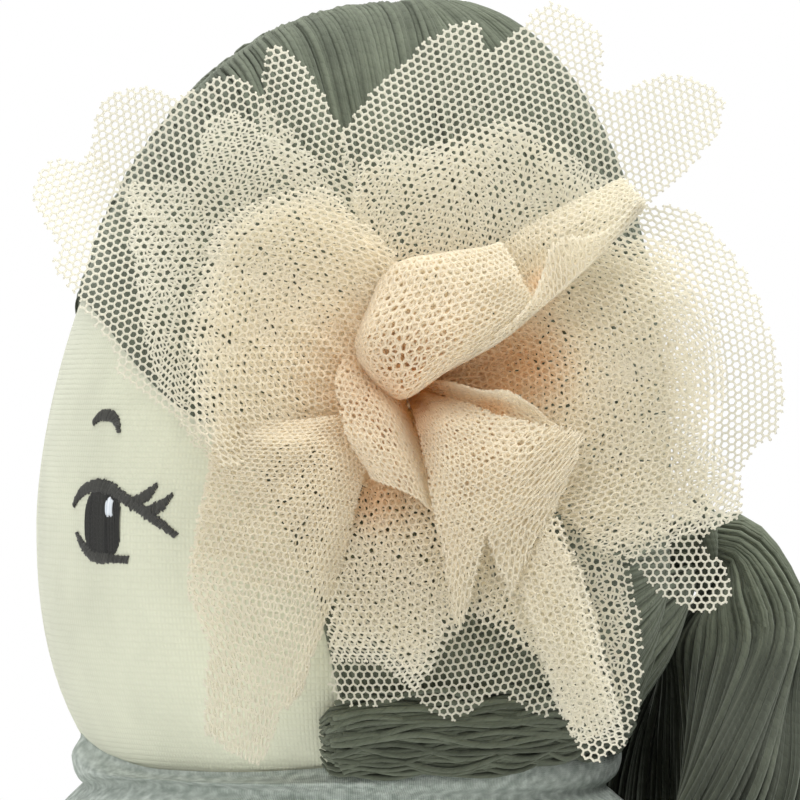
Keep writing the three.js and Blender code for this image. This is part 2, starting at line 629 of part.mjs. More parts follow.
function buildTorso() {
  const outer = torsoRings(0);
  const inner = torsoRings(KNIT.wall);
  const armholes = [-1, 1].map((side) => barX(DISC.bore, side * 20, side * 60, 0, shoulderZ));
  piece('sweater_body', cut(loft([...inner, ...outer.reverse()], true), ...armholes), FINISH.melange);

  const dome = [
    ellipse(TORSO_SIDES, 0, 0, mix(necklineZ, neckZ, 0.55), 24, 23),
    ellipse(TORSO_SIDES, 0, 0, neckZ, NECKLINE.faceRadius, NECKLINE.faceRadius),
  ];
  const core = loft([...torsoRings(KNIT.wall + GAP), ...dome]);
  const anchorTop = neckZ - DISC.depth;
  const neckPocket = barZ(PIN.anchor + GAP, anchorTop - PIN.thickness - 2 * GAP, anchorTop);
  const neckBore = barZ(DISC.bore, anchorTop - 1, neckZ + 1);
  const tools = [neckPocket, neckBore, ...shoulderTools(-1), ...shoulderTools(1)];
  piece('torso_stuffing', cut(core, ...tools), FINISH.stuffing);

  const hem = (inset, z, ribs) =>
    Array.from({ length: KNIT.ribs * 2 }, (_, i) => {
      const a = (i / (KNIT.ribs * 2)) * turn;
      const out = inset + (ribs && i % 2 ? KNIT.ribDepth : 0);
      return point((SEAT.halfWidth + out) * Math.cos(a), (SEAT.halfDepth + out) * Math.sin(a), z);
    });
  const low = torsoZ - GAP - KNIT.hemHeight;
  const high = torsoZ - GAP;
  const inside = [hem(2 * GAP, low, false), hem(2 * GAP, high, false)];
  const outside = [hem(KNIT.hem, high, true), hem(KNIT.hem, low, true)];
  piece('hem_band', loft([...inside, ...outside], true), FINISH.melange);
}

function buildSeat() {
  const pelvis = loft([
    ellipse(TORSO_SIDES, 0, 0, seatZ, SEAT.halfWidth - 5, SEAT.halfDepth - 5),
    ellipse(TORSO_SIDES, 0, 0, seatZ + 3, SEAT.halfWidth - 1, SEAT.halfDepth - 1),
    ellipse(TORSO_SIDES, 0, 0, seatZ + SEAT.height, SEAT.halfWidth, SEAT.halfDepth),
  ]);
  const outline = new THREE.Shape();
  outline.moveTo(LEG.y + SEAT.tongueRadius, seatZ + 2);
  outline.lineTo(LEG.y - SEAT.tongueRadius, seatZ + 2);
  outline.lineTo(LEG.y - SEAT.tongueRadius, hipZ);
  outline.absarc(LEG.y, hipZ, SEAT.tongueRadius, Math.PI, turn, false);
  outline.closePath();
  const options = { depth: 2 * SEAT.tongueHalf, bevelEnabled: false, curveSegments: 14 };
  const tongue = new THREE.ExtrudeGeometry(outline, options);
  tongue.rotateX(Math.PI / 2);
  tongue.rotateZ(Math.PI / 2);
  tongue.translate(-SEAT.tongueHalf, 0, 0);
  const bore = barX(DISC.bore, -SEAT.tongueHalf - 5, SEAT.tongueHalf + 5, LEG.y, hipZ);
  piece('trouser_seat', cut(join(pelvis, tongue), bore), FINISH.trousers);

  const end = SEAT.tongueHalf + GAP + DISC.depth + DISC.thickness + 2 * GAP;
  const shaft = barX(PIN.radius, -end - 1, end + 1, LEG.y, hipZ);
  const heads = [-1, 1].map((side) =>
    barX(PIN.head, side * end, side * (end + PIN.thickness), LEG.y, hipZ));
  piece('hip_pin', join(shaft, ...heads), FINISH.steel);
}

// Limbs

// A disc joint's hollow in a limb: a bore from its inner face and a pocket for the disc and the pin's head
function limbPocket(side, face, y, z) {
  const from = face + side * DISC.depth;
  const to = from + side * (DISC.thickness + PIN.thickness + 4 * GAP);
  return [barX(DISC.bore, face - side * 4, from + side, y, z), barX(DISC.radius + GAP, from, to, y, z)];
}

function limbDisc(name, side, face, y, z) {
  const from = face + side * (DISC.depth + GAP);
  const to = from + side * DISC.thickness;
  const disc = cut(barX(DISC.radius, from, to, y, z), barX(DISC.bore, from - side, to + side, y, z));
  piece(name, disc, FINISH.fibreboard);
}

const ARM_SIDES = 14;
const sleeveWall = KNIT.wall + GAP;
const armFace = TORSO.shoulderHalf + GAP + sleeveWall;

// How far an arm stands out from the shoulder at a distance below the hinge, to clear the belly
const armDrift = (s) => ARM.splay * smooth(s, 0, 36) + 0.05 * Math.max(0, s - 36);

// Rings of an arm grown by a distance, from the shoulder's top down to a distance below the hinge
function armRings(side, grow, end) {
  const widths = [
    [-ARM.radius, 0], [-0.86 * ARM.radius, 0.52], [-0.5 * ARM.radius, 0.87], [0, 1], [14, 1.02], [30, 0.98],
    [48, 0.93], [66, 0.86], [82, 0.76], [SLEEVE.end + 6, 0.73],
  ];
  const rings = [];
  const section = (s, share) => {
    const half = ARM.radius * share + grow;
    const inner = armFace - grow + armDrift(s);
    const lift = s < 0 ? ARM.radius * (1 - share) * 0.6 : 0;
    return { x: side * (inner + lift + half), half };
  };
  const place = (s, share, depth = share) => {
    const { x, half } = section(s, share);
    return ellipse(ARM_SIDES, x, 0, shoulderZ - s, half, ARM.radius * depth + grow);
  };
  widths.forEach(([s, share]) => {
    if (s > end) return;
    if (share === 0) rings.push([point(section(s, 0.2).x, 0, shoulderZ - s + grow)]);
    else rings.push(place(s, share));
  });
  const lowest = widths.findLast(([s]) => s <= end);
  if (lowest[0] < end) rings.push(place(end, lowest[1]));
  return rings;
}

function buildArm(side, name) {
  const rings = armRings(side, 0, SLEEVE.end + 6);
  const wrist = rings.at(-1)[0].x;
  const reach = ARM.length - SLEEVE.end - 6;
  const centre = side * (armFace + armDrift(SLEEVE.end + 6) + ARM.wristRadius);
  const hand = [[0.3, 0.95, 1.05], [0.6, 0.98, 1.2], [0.85, 0.7, 0.85], [0.96, 0.36, 0.45]];
  hand.forEach(([share, wide, deep]) => {
    const z = shoulderZ - SLEEVE.end - 6 - share * reach;
    const halfX = 0.8 * ARM.handRadius * wide;
    rings.push(ellipse(ARM_SIDES, centre + side * share, 0, z, halfX, ARM.handRadius * deep));
  });
  rings.push([point(centre + side, 0, shoulderZ - ARM.length)]);
  piece(`arm_${name}`, cut(loft(rings), ...limbPocket(side, side * armFace, 0, shoulderZ)), FINISH.skin);

  const outer = armRings(side, sleeveWall, SLEEVE.end);
  const inner = armRings(side, GAP, SLEEVE.end);
  const bore = barX(DISC.bore, side * (armFace - 8), side * (armFace + 4), 0, shoulderZ);
  const sleeve = cut(loft([...outer, ...inner.reverse()]), bore);
  piece(`sleeve_${name}`, sleeve, FINISH.melange);

  const cuffTop = shoulderZ - SLEEVE.end + CUFF.height * 0.55;
  const sleeveRing = (z, grow) => {
    const s = shoulderZ - z;
    const half = ARM.radius * SLEEVE.share;
    const x = side * (armFace + armDrift(s) + half);
    return ellipse(ARM_SIDES + 8, x, 0, z, half + grow, half + grow);
  };
  const low = cuffTop - CUFF.height;
  const near = sleeveWall + 2 * GAP;
  const cuff = [
    sleeveRing(low, near), sleeveRing(cuffTop, near), sleeveRing(cuffTop - 1, near + CUFF.thickness),
    sleeveRing(low + 1, near + CUFF.thickness),
  ];
  piece(`cuff_${name}`, loft(cuff, true), FINISH.melange);

  limbDisc(`arm_disc_${name}`, side, side * armFace, 0, shoulderZ);
  const pinHead = side * (armFace + DISC.depth + DISC.thickness + 2 * GAP);
  const anchor = side * (TORSO.shoulderHalf - DISC.depth - GAP);
  const pin = join(
    barX(PIN.radius, anchor - side, pinHead + side, 0, shoulderZ),
    barX(PIN.head, pinHead, pinHead + side * PIN.thickness, 0, shoulderZ),
    barX(PIN.anchor, anchor, anchor - side * PIN.thickness, 0, shoulderZ),
  );
  piece(`shoulder_pin_${name}`, pin, FINISH.steel);
}

const legFace = SEAT.tongueHalf + GAP;
const ankleZ = SOLE.thickness + SHOE.footHeight;

function buildLeg(side, name) {
  const x = side * LEG.stance;
  const sides = 16;
  const rings = [
    [ankleZ, LEG.ankleRadius], [SOLE.thickness + SHOE.height + 4, LEG.ankleRadius],
    [55, LEG.calfRadius - 0.6], [76, LEG.calfRadius], [98, LEG.calfRadius + 0.7],
  ].map(([z, radius]) => ellipse(sides, x, LEG.y, z, radius, radius));
  [0, 28, 52, 72].forEach((angle) => {
    const [s, c] = [Math.sin(angle * degree), Math.cos(angle * degree)];
    const half = LEG.hipRadius * Math.sqrt(c);
    const middle = side * (legFace + LEG.hipRadius);
    rings.push(ellipse(sides, middle, LEG.y, hipZ + LEG.hipRadius * s, half, LEG.hipRadius * c));
  });
  rings.push([point(side * (legFace + LEG.hipRadius), LEG.y, hipZ + LEG.hipRadius)]);
  piece(`leg_${name}`, cut(loft(rings), ...limbPocket(side, side * legFace, LEG.y, hipZ)), FINISH.trousers);
  limbDisc(`leg_disc_${name}`, side, side * legFace, LEG.y, hipZ);

  const outline = (share, z, toe = share) =>
    ringOf(24, (a) => {
      const reach = Math.sin(a) < 0 ? SOLE.toe * toe : SOLE.heel * share;
      return point(x + SOLE.halfWidth * share * Math.cos(a), LEG.y + reach * Math.sin(a), z);
    });
  piece(`sole_${name}`, loft([outline(1, 0), outline(1, SOLE.thickness)]), FINISH.sole);

  const top = SOLE.thickness + SHOE.height;
  const rim = LEG.ankleRadius + SHOE.rim;
  const base = SOLE.thickness + GAP;
  const upper = [
    outline(0.95, base), outline(0.98, base + 4), outline(0.96, base + 9), outline(0.9, base + 14, 0.82),
    outline(0.84, base + 19, 0.58), ellipse(24, x, LEG.y, top - 5, rim + 0.6, rim + 0.6),
    ellipse(24, x, LEG.y, top, rim, rim),
  ];
  const socket = barZ(LEG.ankleRadius + 1.6 * GAP, ankleZ - GAP, top + 5, x, LEG.y, 24);
  piece(`shoe_${name}`, cut(loft(upper), socket), FINISH.shoeFelt);
}

buildHead();
buildFace(1, 'left');
buildFace(-1, 'right');
buildHairHalf(1, 'left');
buildHairHalf(-1, 'right');
buildNapeBundle(1, 'left');
buildNapeBundle(-1, 'right');
buildPonytail();
buildFlower();
buildCollar();
buildTorso();
buildSeat();
buildArm(1, 'left');
buildArm(-1, 'right');
buildLeg(1, 'left');
buildLeg(-1, 'right');

export default doll;
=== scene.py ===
"""A soft cloth doll with yarn hair, a tulle flower at the left of its head and a cowl-necked sweater.

Shapes are worked out in millimetres about the doll's own upright axis, with +X the doll's left and -Y its
face, and are put into the frame, in metres, when a mesh is made.
"""
import math

import bpy
import numpy as np
from bpy.props import FloatProperty, FloatVectorProperty, PointerProperty
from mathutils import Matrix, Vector


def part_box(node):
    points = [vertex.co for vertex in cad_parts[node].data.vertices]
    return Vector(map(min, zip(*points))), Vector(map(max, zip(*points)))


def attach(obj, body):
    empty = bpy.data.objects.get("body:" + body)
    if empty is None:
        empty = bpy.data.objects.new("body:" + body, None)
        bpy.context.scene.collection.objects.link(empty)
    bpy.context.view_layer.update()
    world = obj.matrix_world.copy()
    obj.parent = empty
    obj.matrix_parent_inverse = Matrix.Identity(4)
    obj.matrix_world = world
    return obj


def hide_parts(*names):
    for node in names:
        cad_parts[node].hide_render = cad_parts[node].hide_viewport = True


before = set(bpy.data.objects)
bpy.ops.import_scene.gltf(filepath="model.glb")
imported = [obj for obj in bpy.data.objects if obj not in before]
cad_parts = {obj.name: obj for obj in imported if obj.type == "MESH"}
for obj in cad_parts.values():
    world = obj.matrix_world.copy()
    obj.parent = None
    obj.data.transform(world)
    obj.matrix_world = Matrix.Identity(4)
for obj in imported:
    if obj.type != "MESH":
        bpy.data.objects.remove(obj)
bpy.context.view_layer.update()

bl_info = {
    "name": "Cloth doll with a tulle flower",
    "version": (1, 0, 0),
    "blender": (4, 5, 0),
    "location": "View3D > Sidebar > Doll",
    "description": "Makes the finished surfaces of a jointed cloth doll",
    "category": "Add Mesh",
}

MM = 0.001
DEG = math.pi / 180
TURN = 2 * math.pi
axis_low, axis_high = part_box("neck_disc")
AXIS = np.array([(axis_low[0] + axis_high[0]) / 2, (axis_low[1] + axis_high[1]) / 2, 0.0])

# Heights and sizes that the solids have, in millimetres
HIP_Z = 119.5
SEAT_Z = 133.85
TORSO_Z = 148.8
SHOULDER_Z = 235.95
NECKLINE_Z = 255.05
NECK_Z = 261.45
HEAD_Z = 324.8
HEAD = {"radius": 55.6, "rise": 91.0, "drop": 65.0, "chin": 63.0, "lean": 8.5, "skin": 1.4, "hole": 3.2}
EYE = {"azimuth": 31.0, "height": 0.4, "half_width": 4.9, "half_height": 5.9}
HAIR = {"seat": 0.75, "thickness": 1.8, "bundle_height": 15.0, "bundle_thickness": 8.0}
TAIL = {"root": 5.5, "z": 320.3, "thickness": 35.0, "length": 130.0, "inner": 59.0}
COLLAR = {"top": 286.5, "low": 256.9, "roll": 49.4, "crease": 46.7, "fold": 56.0, "seat": 0.5}
FLOWER = {"azimuth": 80.0, "back": 10.6, "z": 347.5, "layer": 1.25, "spread": 0.055, "root": 3.0}
FELT = {"radius": 17.0, "thickness": 2.0}
GAP = 0.35
HAIR_GROW = HAIR["seat"] + HAIR["thickness"]
HEM = {"height": 14.2, "half_x": 41.0, "half_y": 35.0, "ribs": 60}
ARM = {"face": 43.7, "radius": 12.0, "length": 117.0, "sleeve": 86.0, "cuff": 13.0, "end": 0.77, "ribs": 40}
LEG = {"x": 24.0, "y": 3.0, "hip_x": 22.35, "hip": 14.0, "ankle": 9.0}
SHOE = {"half_width": 17.5, "toe": 38, "heel": 31, "sole": 4.0, "neck": 11.1}
SIDES = ((1, "left"), (-1, "right"))


# Shapes as functions

def through(pairs, x):
    """Smooth line through rows of [x, value, ...]: a cubic between neighbours, flat at both ends."""
    table = np.array(pairs, float)
    xs = table[:, 0]
    ys = table[:, 1:]
    slopes = np.zeros_like(ys)
    slopes[1:-1] = (ys[2:] - ys[:-2]) / (xs[2:] - xs[:-2])[:, None]
    x = np.clip(np.asarray(x, float), xs[0], xs[-1])
    k = np.clip(np.searchsorted(xs, x, side="right") - 1, 0, len(xs) - 2)
    span = (xs[k + 1] - xs[k])[..., None]
    t = (x - xs[k])[..., None] / span
    value = (2 * t**3 - 3 * t**2 + 1) * ys[k] + (3 * t**2 - 2 * t**3) * ys[k + 1]
    value = value + (t**3 - 2 * t**2 + t) * span * slopes[k] + (t**3 - t**2) * span * slopes[k + 1]
    return value[..., 0] if ys.shape[1] == 1 else value


def mix(a, b, share):
    """The share of the way from a to b."""
    return a * (1 - share) + b * share


def stack(*parts):
    """Places from their coordinates, each spread over the rows and columns of the others."""
    return np.stack(np.broadcast_arrays(*parts), -1)


def prolonged(rows):
    """Rows with one more at either end, straight on from the last two there."""
    return np.concatenate([2 * rows[:1] - rows[1:2], rows, 2 * rows[-1:] - rows[-2:-1]])


def along(points, count, closed=False):
    """Points on a smooth line through rows of points, at even shares of its length: Catmull-Rom pieces."""
    points = np.asarray(points, float)
    points = np.concatenate([points[-1:], points, points[:2]]) if closed else prolonged(points)
    last = len(points) - 3
    fine = np.linspace(0, last, last * 12 + 1)
    k = np.clip(fine.astype(int), 0, last - 1)
    t = (fine - k).reshape((-1,) + (1,) * (points.ndim - 1))
    a, b, c, d = points[k], points[k + 1], points[k + 2], points[k + 3]
    line = 0.5 * (2 * b + (c - a) * t + (2 * a - 5 * b + 4 * c - d) * t**2 + (3 * b - a - 3 * c + d) * t**3)
    centre = line.reshape(len(line), -1, line.shape[-1]).mean(1)
    run = run_of(centre)
    where = np.interp(np.linspace(0, run[-1], count), run, np.arange(len(run)))
    k = np.clip(where.astype(int), 0, len(line) - 2)
    t = (where - k).reshape((-1,) + (1,) * (line.ndim - 1))
    return mix(line[k], line[k + 1], t)


def run_of(line):
    """How far along a line of points each of them is."""
    return np.concatenate([[0], np.cumsum(np.linalg.norm(np.diff(line, axis=0), axis=1))])


def smoothstep(x, low, high):
    """0 up to low, 1 from high on, and a smooth cubic between."""
    t = np.clip((np.asarray(x, float) - low) / (high - low), 0, 1)
    return t * t * (3 - 2 * t)


def unit(vectors):
    """Vectors divided by their lengths."""
    size = np.linalg.norm(vectors, axis=-1, keepdims=True)
    return vectors / np.maximum(size, 1e-9)


def waves(*phases, seed, count=5, low=0.5, high=2.0):
    """A soft irregular surface from -1 to 1: a few sine waves of seeded direction over the given phases."""
    draw = np.random.default_rng(seed)
    total = 0.0
    for _ in range(count):
        way = draw.normal(size=len(phases))
        way = way / np.linalg.norm(way) * draw.uniform(low, high)
        total = total + np.sin(sum(w * p for w, p in zip(way, phases)) + draw.uniform(0, TURN))
    return total / count**0.5 / 1.3


def head_radius(z, grow=0.0):
    """The egg's radius at a height: a pointed dome above the widest level, a fuller bowl below it."""
    rise = np.asarray(z, float) - HEAD_Z
    radius = HEAD["radius"] + grow
    up = radius * np.clip(1 - (np.clip(rise, 0, None) / (HEAD["rise"] + grow))**1.8, 0, None)**0.4
    down = radius * np.sqrt(np.clip(1 - (np.clip(-rise, 0, None) / (HEAD["drop"] + grow))**2.5, 0, None))
    return np.where(rise >= 0, up, down)


def head_lean(z):
    """How far back the head's middle lies at a height, more towards the crown."""
    return HEAD["lean"] * (np.clip(np.asarray(z, float) - HEAD_Z, 0, None) / HEAD["rise"])**1.4


def head_point(azimuth, z, grow=0.0):
    """A place on the head grown by a distance. Azimuth 0 is the middle of the face, 90 the left ear."""
    r = head_radius(z, grow)
    a = np.asarray(azimuth, float) * DEG
    return stack(r * np.sin(a), head_lean(z) - r * np.cos(a), z)


def ring(angles, x, y, z, half_x, half_y):
    """Rings of an elliptic section: one row for each height, one column for each angle."""
    a = angles[None, :]
    x, y, z, half_x, half_y = [np.asarray(v, float).reshape(-1, 1) for v in (x, y, z, half_x, half_y)]
    return stack(x + half_x * np.cos(a), y + half_y * np.sin(a), z + 0 * a)


def turn_of(count):
    """Angles at even steps round a full turn."""
    return np.arange(count) * TURN / count


# Meshes

def grid_faces(rows, cols, around=False, loop=False):
    """Quads of a grid, with the row and column of each corner counted on past a closed seam."""
    spans = np.arange(rows if loop else rows - 1), np.arange(cols if around else cols - 1)
    r, c = np.meshgrid(*spans, indexing="ij")
    corner_r = np.stack([r, r, r + 1, r + 1], -1).reshape(-1, 4)
    corner_c = np.stack([c, c + 1, c + 1, c], -1).reshape(-1, 4)
    return (corner_r % rows) * cols + corner_c % cols, corner_r, corner_c


def make_mesh(name, points, faces, uvs, values, outward=False):
    """A mesh object from points in millimetres about the doll's axis, and arrays of faces.

    uvs holds the cloth map of each face's corners, and values a number for each point, by name. outward
    turns all faces round where the volume that they enclose comes out below zero.
    """
    points = np.asarray(points, float).reshape(-1, 3)
    if outward:
        total = 0.0
        for f in faces:
            a = points[f[:, 0]]
            for k in range(1, f.shape[1] - 1):
                total += float((a * np.cross(points[f[:, k]], points[f[:, k + 1]])).sum())
        if total < 0:
            faces = [f[:, ::-1] for f in faces]
            uvs = [u[:, ::-1] for u in uvs]
    mesh = bpy.data.meshes.new(name)
    loops = np.concatenate([f.ravel() for f in faces]).astype(np.int32)
    counts = np.concatenate([np.full(len(f), f.shape[1]) for f in faces])
    starts = np.concatenate([[0], np.cumsum(counts)[:-1]]).astype(np.int32)
    mesh.vertices.add(len(points))
    mesh.loops.add(len(loops))
    mesh.polygons.add(len(counts))
    mesh.vertices.foreach_set("co", (points * MM + AXIS).astype(np.float32).ravel())
    mesh.loops.foreach_set("vertex_index", loops)
    mesh.polygons.foreach_set("loop_start", starts)
    if uvs:
        flat = np.concatenate([u.reshape(-1, 2) for u in uvs]).astype(np.float32)
        mesh.uv_layers.new(name="cloth").data.foreach_set("uv", flat.ravel())
    for key, value in (values or {}).items():
        data = mesh.attributes.new(key, "FLOAT", "POINT").data
        data.foreach_set("value", np.asarray(value, np.float32).ravel())
    mesh.update(calc_edges=True)
    mesh.polygons.foreach_set("use_smooth", np.full(len(counts), True))
    made = bpy.data.objects.new(name, mesh)
    bpy.context.scene.collection.objects.link(made)
    return made


def surface(name, rows, size, loop=False, first=None, last=None, values=None, outward=True):
    """A skin over a grid of points that is closed round each row, with an optional pole at either end.

    size is the width and height in millimetres that the cloth map spreads over the grid.
    """
    count, cols = rows.shape[:2]
    quads, r, c = grid_faces(count, cols, True, loop)
    points = rows.reshape(-1, 3)
    height = count if loop else count - 1
    faces = [quads]
    uvs = [np.stack([c * size[0] / cols, r * size[1] / height], -1)]
    turn = np.arange(cols)
    for pole, row, order in ((first, 0, 1), (last, count - 1, -1)):
        if pole is None:
            continue
        tip = np.full(cols, len(points))
        points = np.concatenate([points, np.asarray(pole, float).reshape(1, 3)])
        edge = row * cols + turn
        u = np.stack([turn + 0.5, turn + 1, turn], -1)[:, ::order] * size[0] / cols
        v = np.full((cols, 3), row * size[1] / height)
        faces.append(np.stack([tip, np.roll(edge, -1), edge], -1)[:, ::order])
        uvs.append(np.stack([u, v], -1))
    if values:
        extra = np.zeros(len(points) - count * cols)
        values = {k: np.concatenate([np.broadcast_to(v, (count, cols)).ravel(), extra])
                  for k, v in values.items()}
    return make_mesh(name, points, faces, uvs, values, outward)


def tubes(name, paths, radius, sides, normal, shade=None):
    """Round strands along paths, all in one mesh: at each station a ring square to the way, flat ends.

    The cloth map holds the share of the way round and the millimetres along each strand.
    """
    paths = np.asarray(paths, float)
    count, stations = paths.shape[:2]
    radius = np.broadcast_to(np.asarray(radius, float), (count, stations))
    way = unit(np.gradient(paths, axis=1))
    out = unit(normal - (normal * way).sum(-1, keepdims=True) * way)
    side = np.cross(way, out)
    a = turn_of(sides)
    spread = np.cos(a)[:, None] * out[:, :, None] + np.sin(a)[:, None] * side[:, :, None]
    points = paths[:, :, None] + radius[:, :, None, None] * spread
    quads, r, c = grid_faces(stations, sides, True)
    base = np.arange(count)[:, None, None] * stations * sides
    faces = (quads[None] + base).reshape(-1, 4)
    run = np.linalg.norm(np.diff(paths, axis=1), axis=2)
    run = np.concatenate([np.zeros((count, 1)), np.cumsum(run, 1)], 1)
    start = np.random.default_rng(5).uniform(0, 9, (count, 1))
    length = (run + start)[:, r]
    turns = np.broadcast_to(c / sides, length.shape)
    uv = np.stack([turns, length], -1).reshape(-1, 4, 2)
    ends = np.stack([np.arange(sides)[::-1], np.arange(sides) + (stations - 1) * sides])
    caps = (ends[None] + base).reshape(-1, sides)
    cap_uv = np.zeros((len(caps), sides, 2))
    if shade is None:
        shade = np.random.default_rng(9).uniform(0, 1, count)
    shade = np.broadcast_to(np.asarray(shade, float).reshape(count, -1), (count, stations))
    values = {"shade": np.repeat(shade[:, :, None], sides, 2)}
    return make_mesh(name, points, [faces, caps], [uv, cap_uv], values)


def join(objects, name):
    """One object of several meshes that are already in place."""
    bpy.ops.object.select_all(action="DESELECT")
    for o in objects:
        o.select_set(True)
    bpy.context.view_layer.objects.active = objects[0]
    bpy.ops.object.join()
    objects[0].name = name
    objects[0].data.name = name
    return objects[0]


def thicken(made, thickness, offset=0.0):
    """A wall of a thickness: about the surface for offset 0, all of it inside for -1."""
    wall = made.modifiers.new("wall", "SOLIDIFY")
    wall.thickness = thickness * MM
    wall.offset = offset


def coat(made, finish):
    """Gives a piece one finish."""
    made.data.materials.clear()
    made.data.materials.append(finish_of(finish))


def place(made, body, nodes, finish=None):
    """Gives a new piece its finish, its body and the solids that it stands for."""
    if finish:
        coat(made, finish)
    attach(made, body)
    if nodes:
        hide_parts(*nodes)
    return made


# Materials

def srgb(red, green, blue):
    """The linear colour of one written as 0 to 255."""
    return tuple(c / 12.92 if c <= 0.04045 else ((c + 0.055) / 1.055)**2.4
                 for c in (red / 255, green / 255, blue / 255))


def dimmed(colour, share):
    """A colour times a share."""
    return tuple(part * share for part in colour)


class Signal:
    """What a node puts out. A sum, product or power of signals and numbers is one more Math node."""

    def __init__(self, tree, socket):
        self.tree = tree
        self.socket = socket

    def maths(self, operation, *others, clamp=False):
        """What one more Math node makes of this signal and the others."""
        values = dict(enumerate((self, *others)))
        return give(self.tree, "Math", values, operation=operation, use_clamp=clamp)

    def __add__(self, other):
        return self.maths("ADD", other)

    def __sub__(self, other):
        return self.maths("SUBTRACT", other)

    def __rsub__(self, other):
        return give(self.tree, "Math", {0: other, 1: self}, operation="SUBTRACT")

    def __mul__(self, other):
        return self.maths("MULTIPLY", other)

    def __truediv__(self, other):
        return self.maths("DIVIDE", other)

    def __pow__(self, other):
        return self.maths("POWER", other)

    def __abs__(self):
        return self.maths("ABSOLUTE")

    def wave(self):
        """How far from zero the sine of half a turn for each 1 is."""
        return abs((self * math.pi).maths("SINE"))

    def ranged(self, low, high, to_low=0.0, to_high=1.0):
        """Spread from one range over another, and held at its ends."""
        return give(self.tree, "MapRange", {0: self, 1: low, 2: high, 3: to_low, 4: to_high})


def feed(socket, value):
    """Links a signal to an input, or sets the input to a value."""
    if isinstance(value, Signal):
        value.tree.links.new(value.socket, socket)
    else:
        socket.default_value = value


def add(tree, kind, inputs=None, **settings):
    """A shader node with its settings and what its inputs are fed."""
    made = tree.nodes.new(f"ShaderNode{kind}")
    for key, value in settings.items():
        setattr(made, key, value)
    for key, value in (inputs or {}).items():
        feed(made.inputs[key], value)
    return made


def give(tree, kind, inputs=None, output=0, **settings):
    """The signal that a new node puts out."""
    return Signal(tree, add(tree, kind, inputs, **settings).outputs[output])


def noise(vector, scale, detail, **more):
    """Soft noise at a place."""
    return give(vector.tree, "TexNoise", {"Vector": vector, "Scale": scale, "Detail": detail, **more})


def blend(share, dark, light):
    """A colour between two, which are colours or signals."""
    dark, light = [c if isinstance(c, Signal) else (*tuple(c)[:3], 1.0) for c in (dark, light)]
    return give(share.tree, "Mix", {0: share, 6: dark, 7: light}, output=2, data_type="RGBA")


def effect(name, formula, inputs):
    """A new shader node group: its inputs with their defaults, and the outputs that its formula gives."""
    tree = bpy.data.node_groups.new(name, "ShaderNodeTree")
    for key, value in inputs.items():
        kind = "NodeSocketVector" if value is None else "NodeSocketFloat"
        socket = tree.interface.new_socket(key, in_out="INPUT", socket_type=kind)
        if value is not None:
            socket.default_value = value
    start = tree.nodes.new("NodeGroupInput")
    found = formula(*[Signal(tree, start.outputs[key]) for key in inputs])
    for key in found:
        tree.interface.new_socket(key, in_out="OUTPUT", socket_type="NodeSocketFloat")
    end = tree.nodes.new("NodeGroupOutput")
    for key, value in found.items():
        feed(end.inputs[key], value)
    return tree


def sides_of(vector):
    """A vector's first two numbers."""
    split = add(vector.tree, "SeparateXYZ", {0: vector})
    return [Signal(vector.tree, split.outputs[number]) for number in (0, 1)]


def woven(vector, pitch_across, pitch_along, wander):
    """Plain weave: a bump where each warp and weft thread passes over, a dip where the threads part."""
    u, v = sides_of(vector)
    shift = (noise(vector, 0.35, 2.0) - 0.5) * wander
    dips = ((u + shift) / pitch_across).wave() * ((v + shift) / pitch_along).wave()
    # The second output is the painted shade where the threads part.
    return {"Height": dips**0.6 + noise(vector, 4.0, 2.0) * 0.35, "Gap": 1.0 - dips**0.5}


def knitted(vector, pitch):
    """Jersey: columns of stitches, each a row of small V shapes, from a slanted wave on either side."""
    u, v = sides_of(vector)
    off = abs((u / pitch).maths("FRACT") - 0.5)
    column = (off * TURN).maths("SINE")
    stitch = (v / pitch * 1.25 + off * 1.6).wave()
    # The second output is the painted shade between the columns.
    return {"Height": column * (stitch * 0.55 + 0.45), "Gap": 1.0 - column}


def plied(vector, ply):
    """Plied yarn: slanted plies round the strand, with fine fibres laid along it."""
    u, v = sides_of(vector)
    slant = u + v / ply
    fibre = noise(give(vector.tree, "CombineXYZ", {0: slant * 14.0, 1: v * 0.7}), 1.0, 3.0)
    return {"Height": slant.wave()**0.5 + fibre * 0.8, "Fibre": fibre}


def blotched(vector, scale, contrast):
    """Uneven dye and melange flecks: a soft noise, spread about its middle by the contrast."""
    return {"Mask": ((noise(vector, scale, 4.0) - 0.5) * contrast).maths("ADD", 0.5, clamp=True)}


EFFECTS = {
    "woven threads": (woven, {"Vector": None, "Across": 0.6, "Along": 0.6, "Wander": 0.2}),
    "knit columns": (knitted, {"Vector": None, "Pitch": 1.0}),
    "plied yarn": (plied, {"Vector": None, "Ply": 2.4}),
    "soft blotches": (blotched, {"Vector": None, "Scale": 1.0, "Contrast": 2.0}),
}
MATERIALS = {}


def use(name, **inputs):
    """The signals of a shared effect, placed in the material that its Vector comes from."""
    tree = inputs["Vector"].tree
    group = bpy.data.node_groups.get(name) or effect(name, *EFFECTS[name])
    made = add(tree, "Group", inputs, node_tree=group)
    return {socket.name: Signal(tree, socket) for socket in made.outputs}


def blotches(vector, scale, contrast):
    """How far a blotch covers a place, from 0 to 1."""
    return use("soft blotches", Vector=vector, Scale=scale, Contrast=contrast)["Mask"]


def cloth_map(tree):
    """The piece's own map, in millimetres of cloth."""
    return give(tree, "UVMap", uv_map="cloth")


def object_place(tree):
    """A place in the piece's own axes, in metres."""
    return give(tree, "TexCoord", output="Object")


def attribute(tree, name):
    """A value that the mesh holds at each point."""
    return give(tree, "Attribute", output="Fac", attribute_name=name)


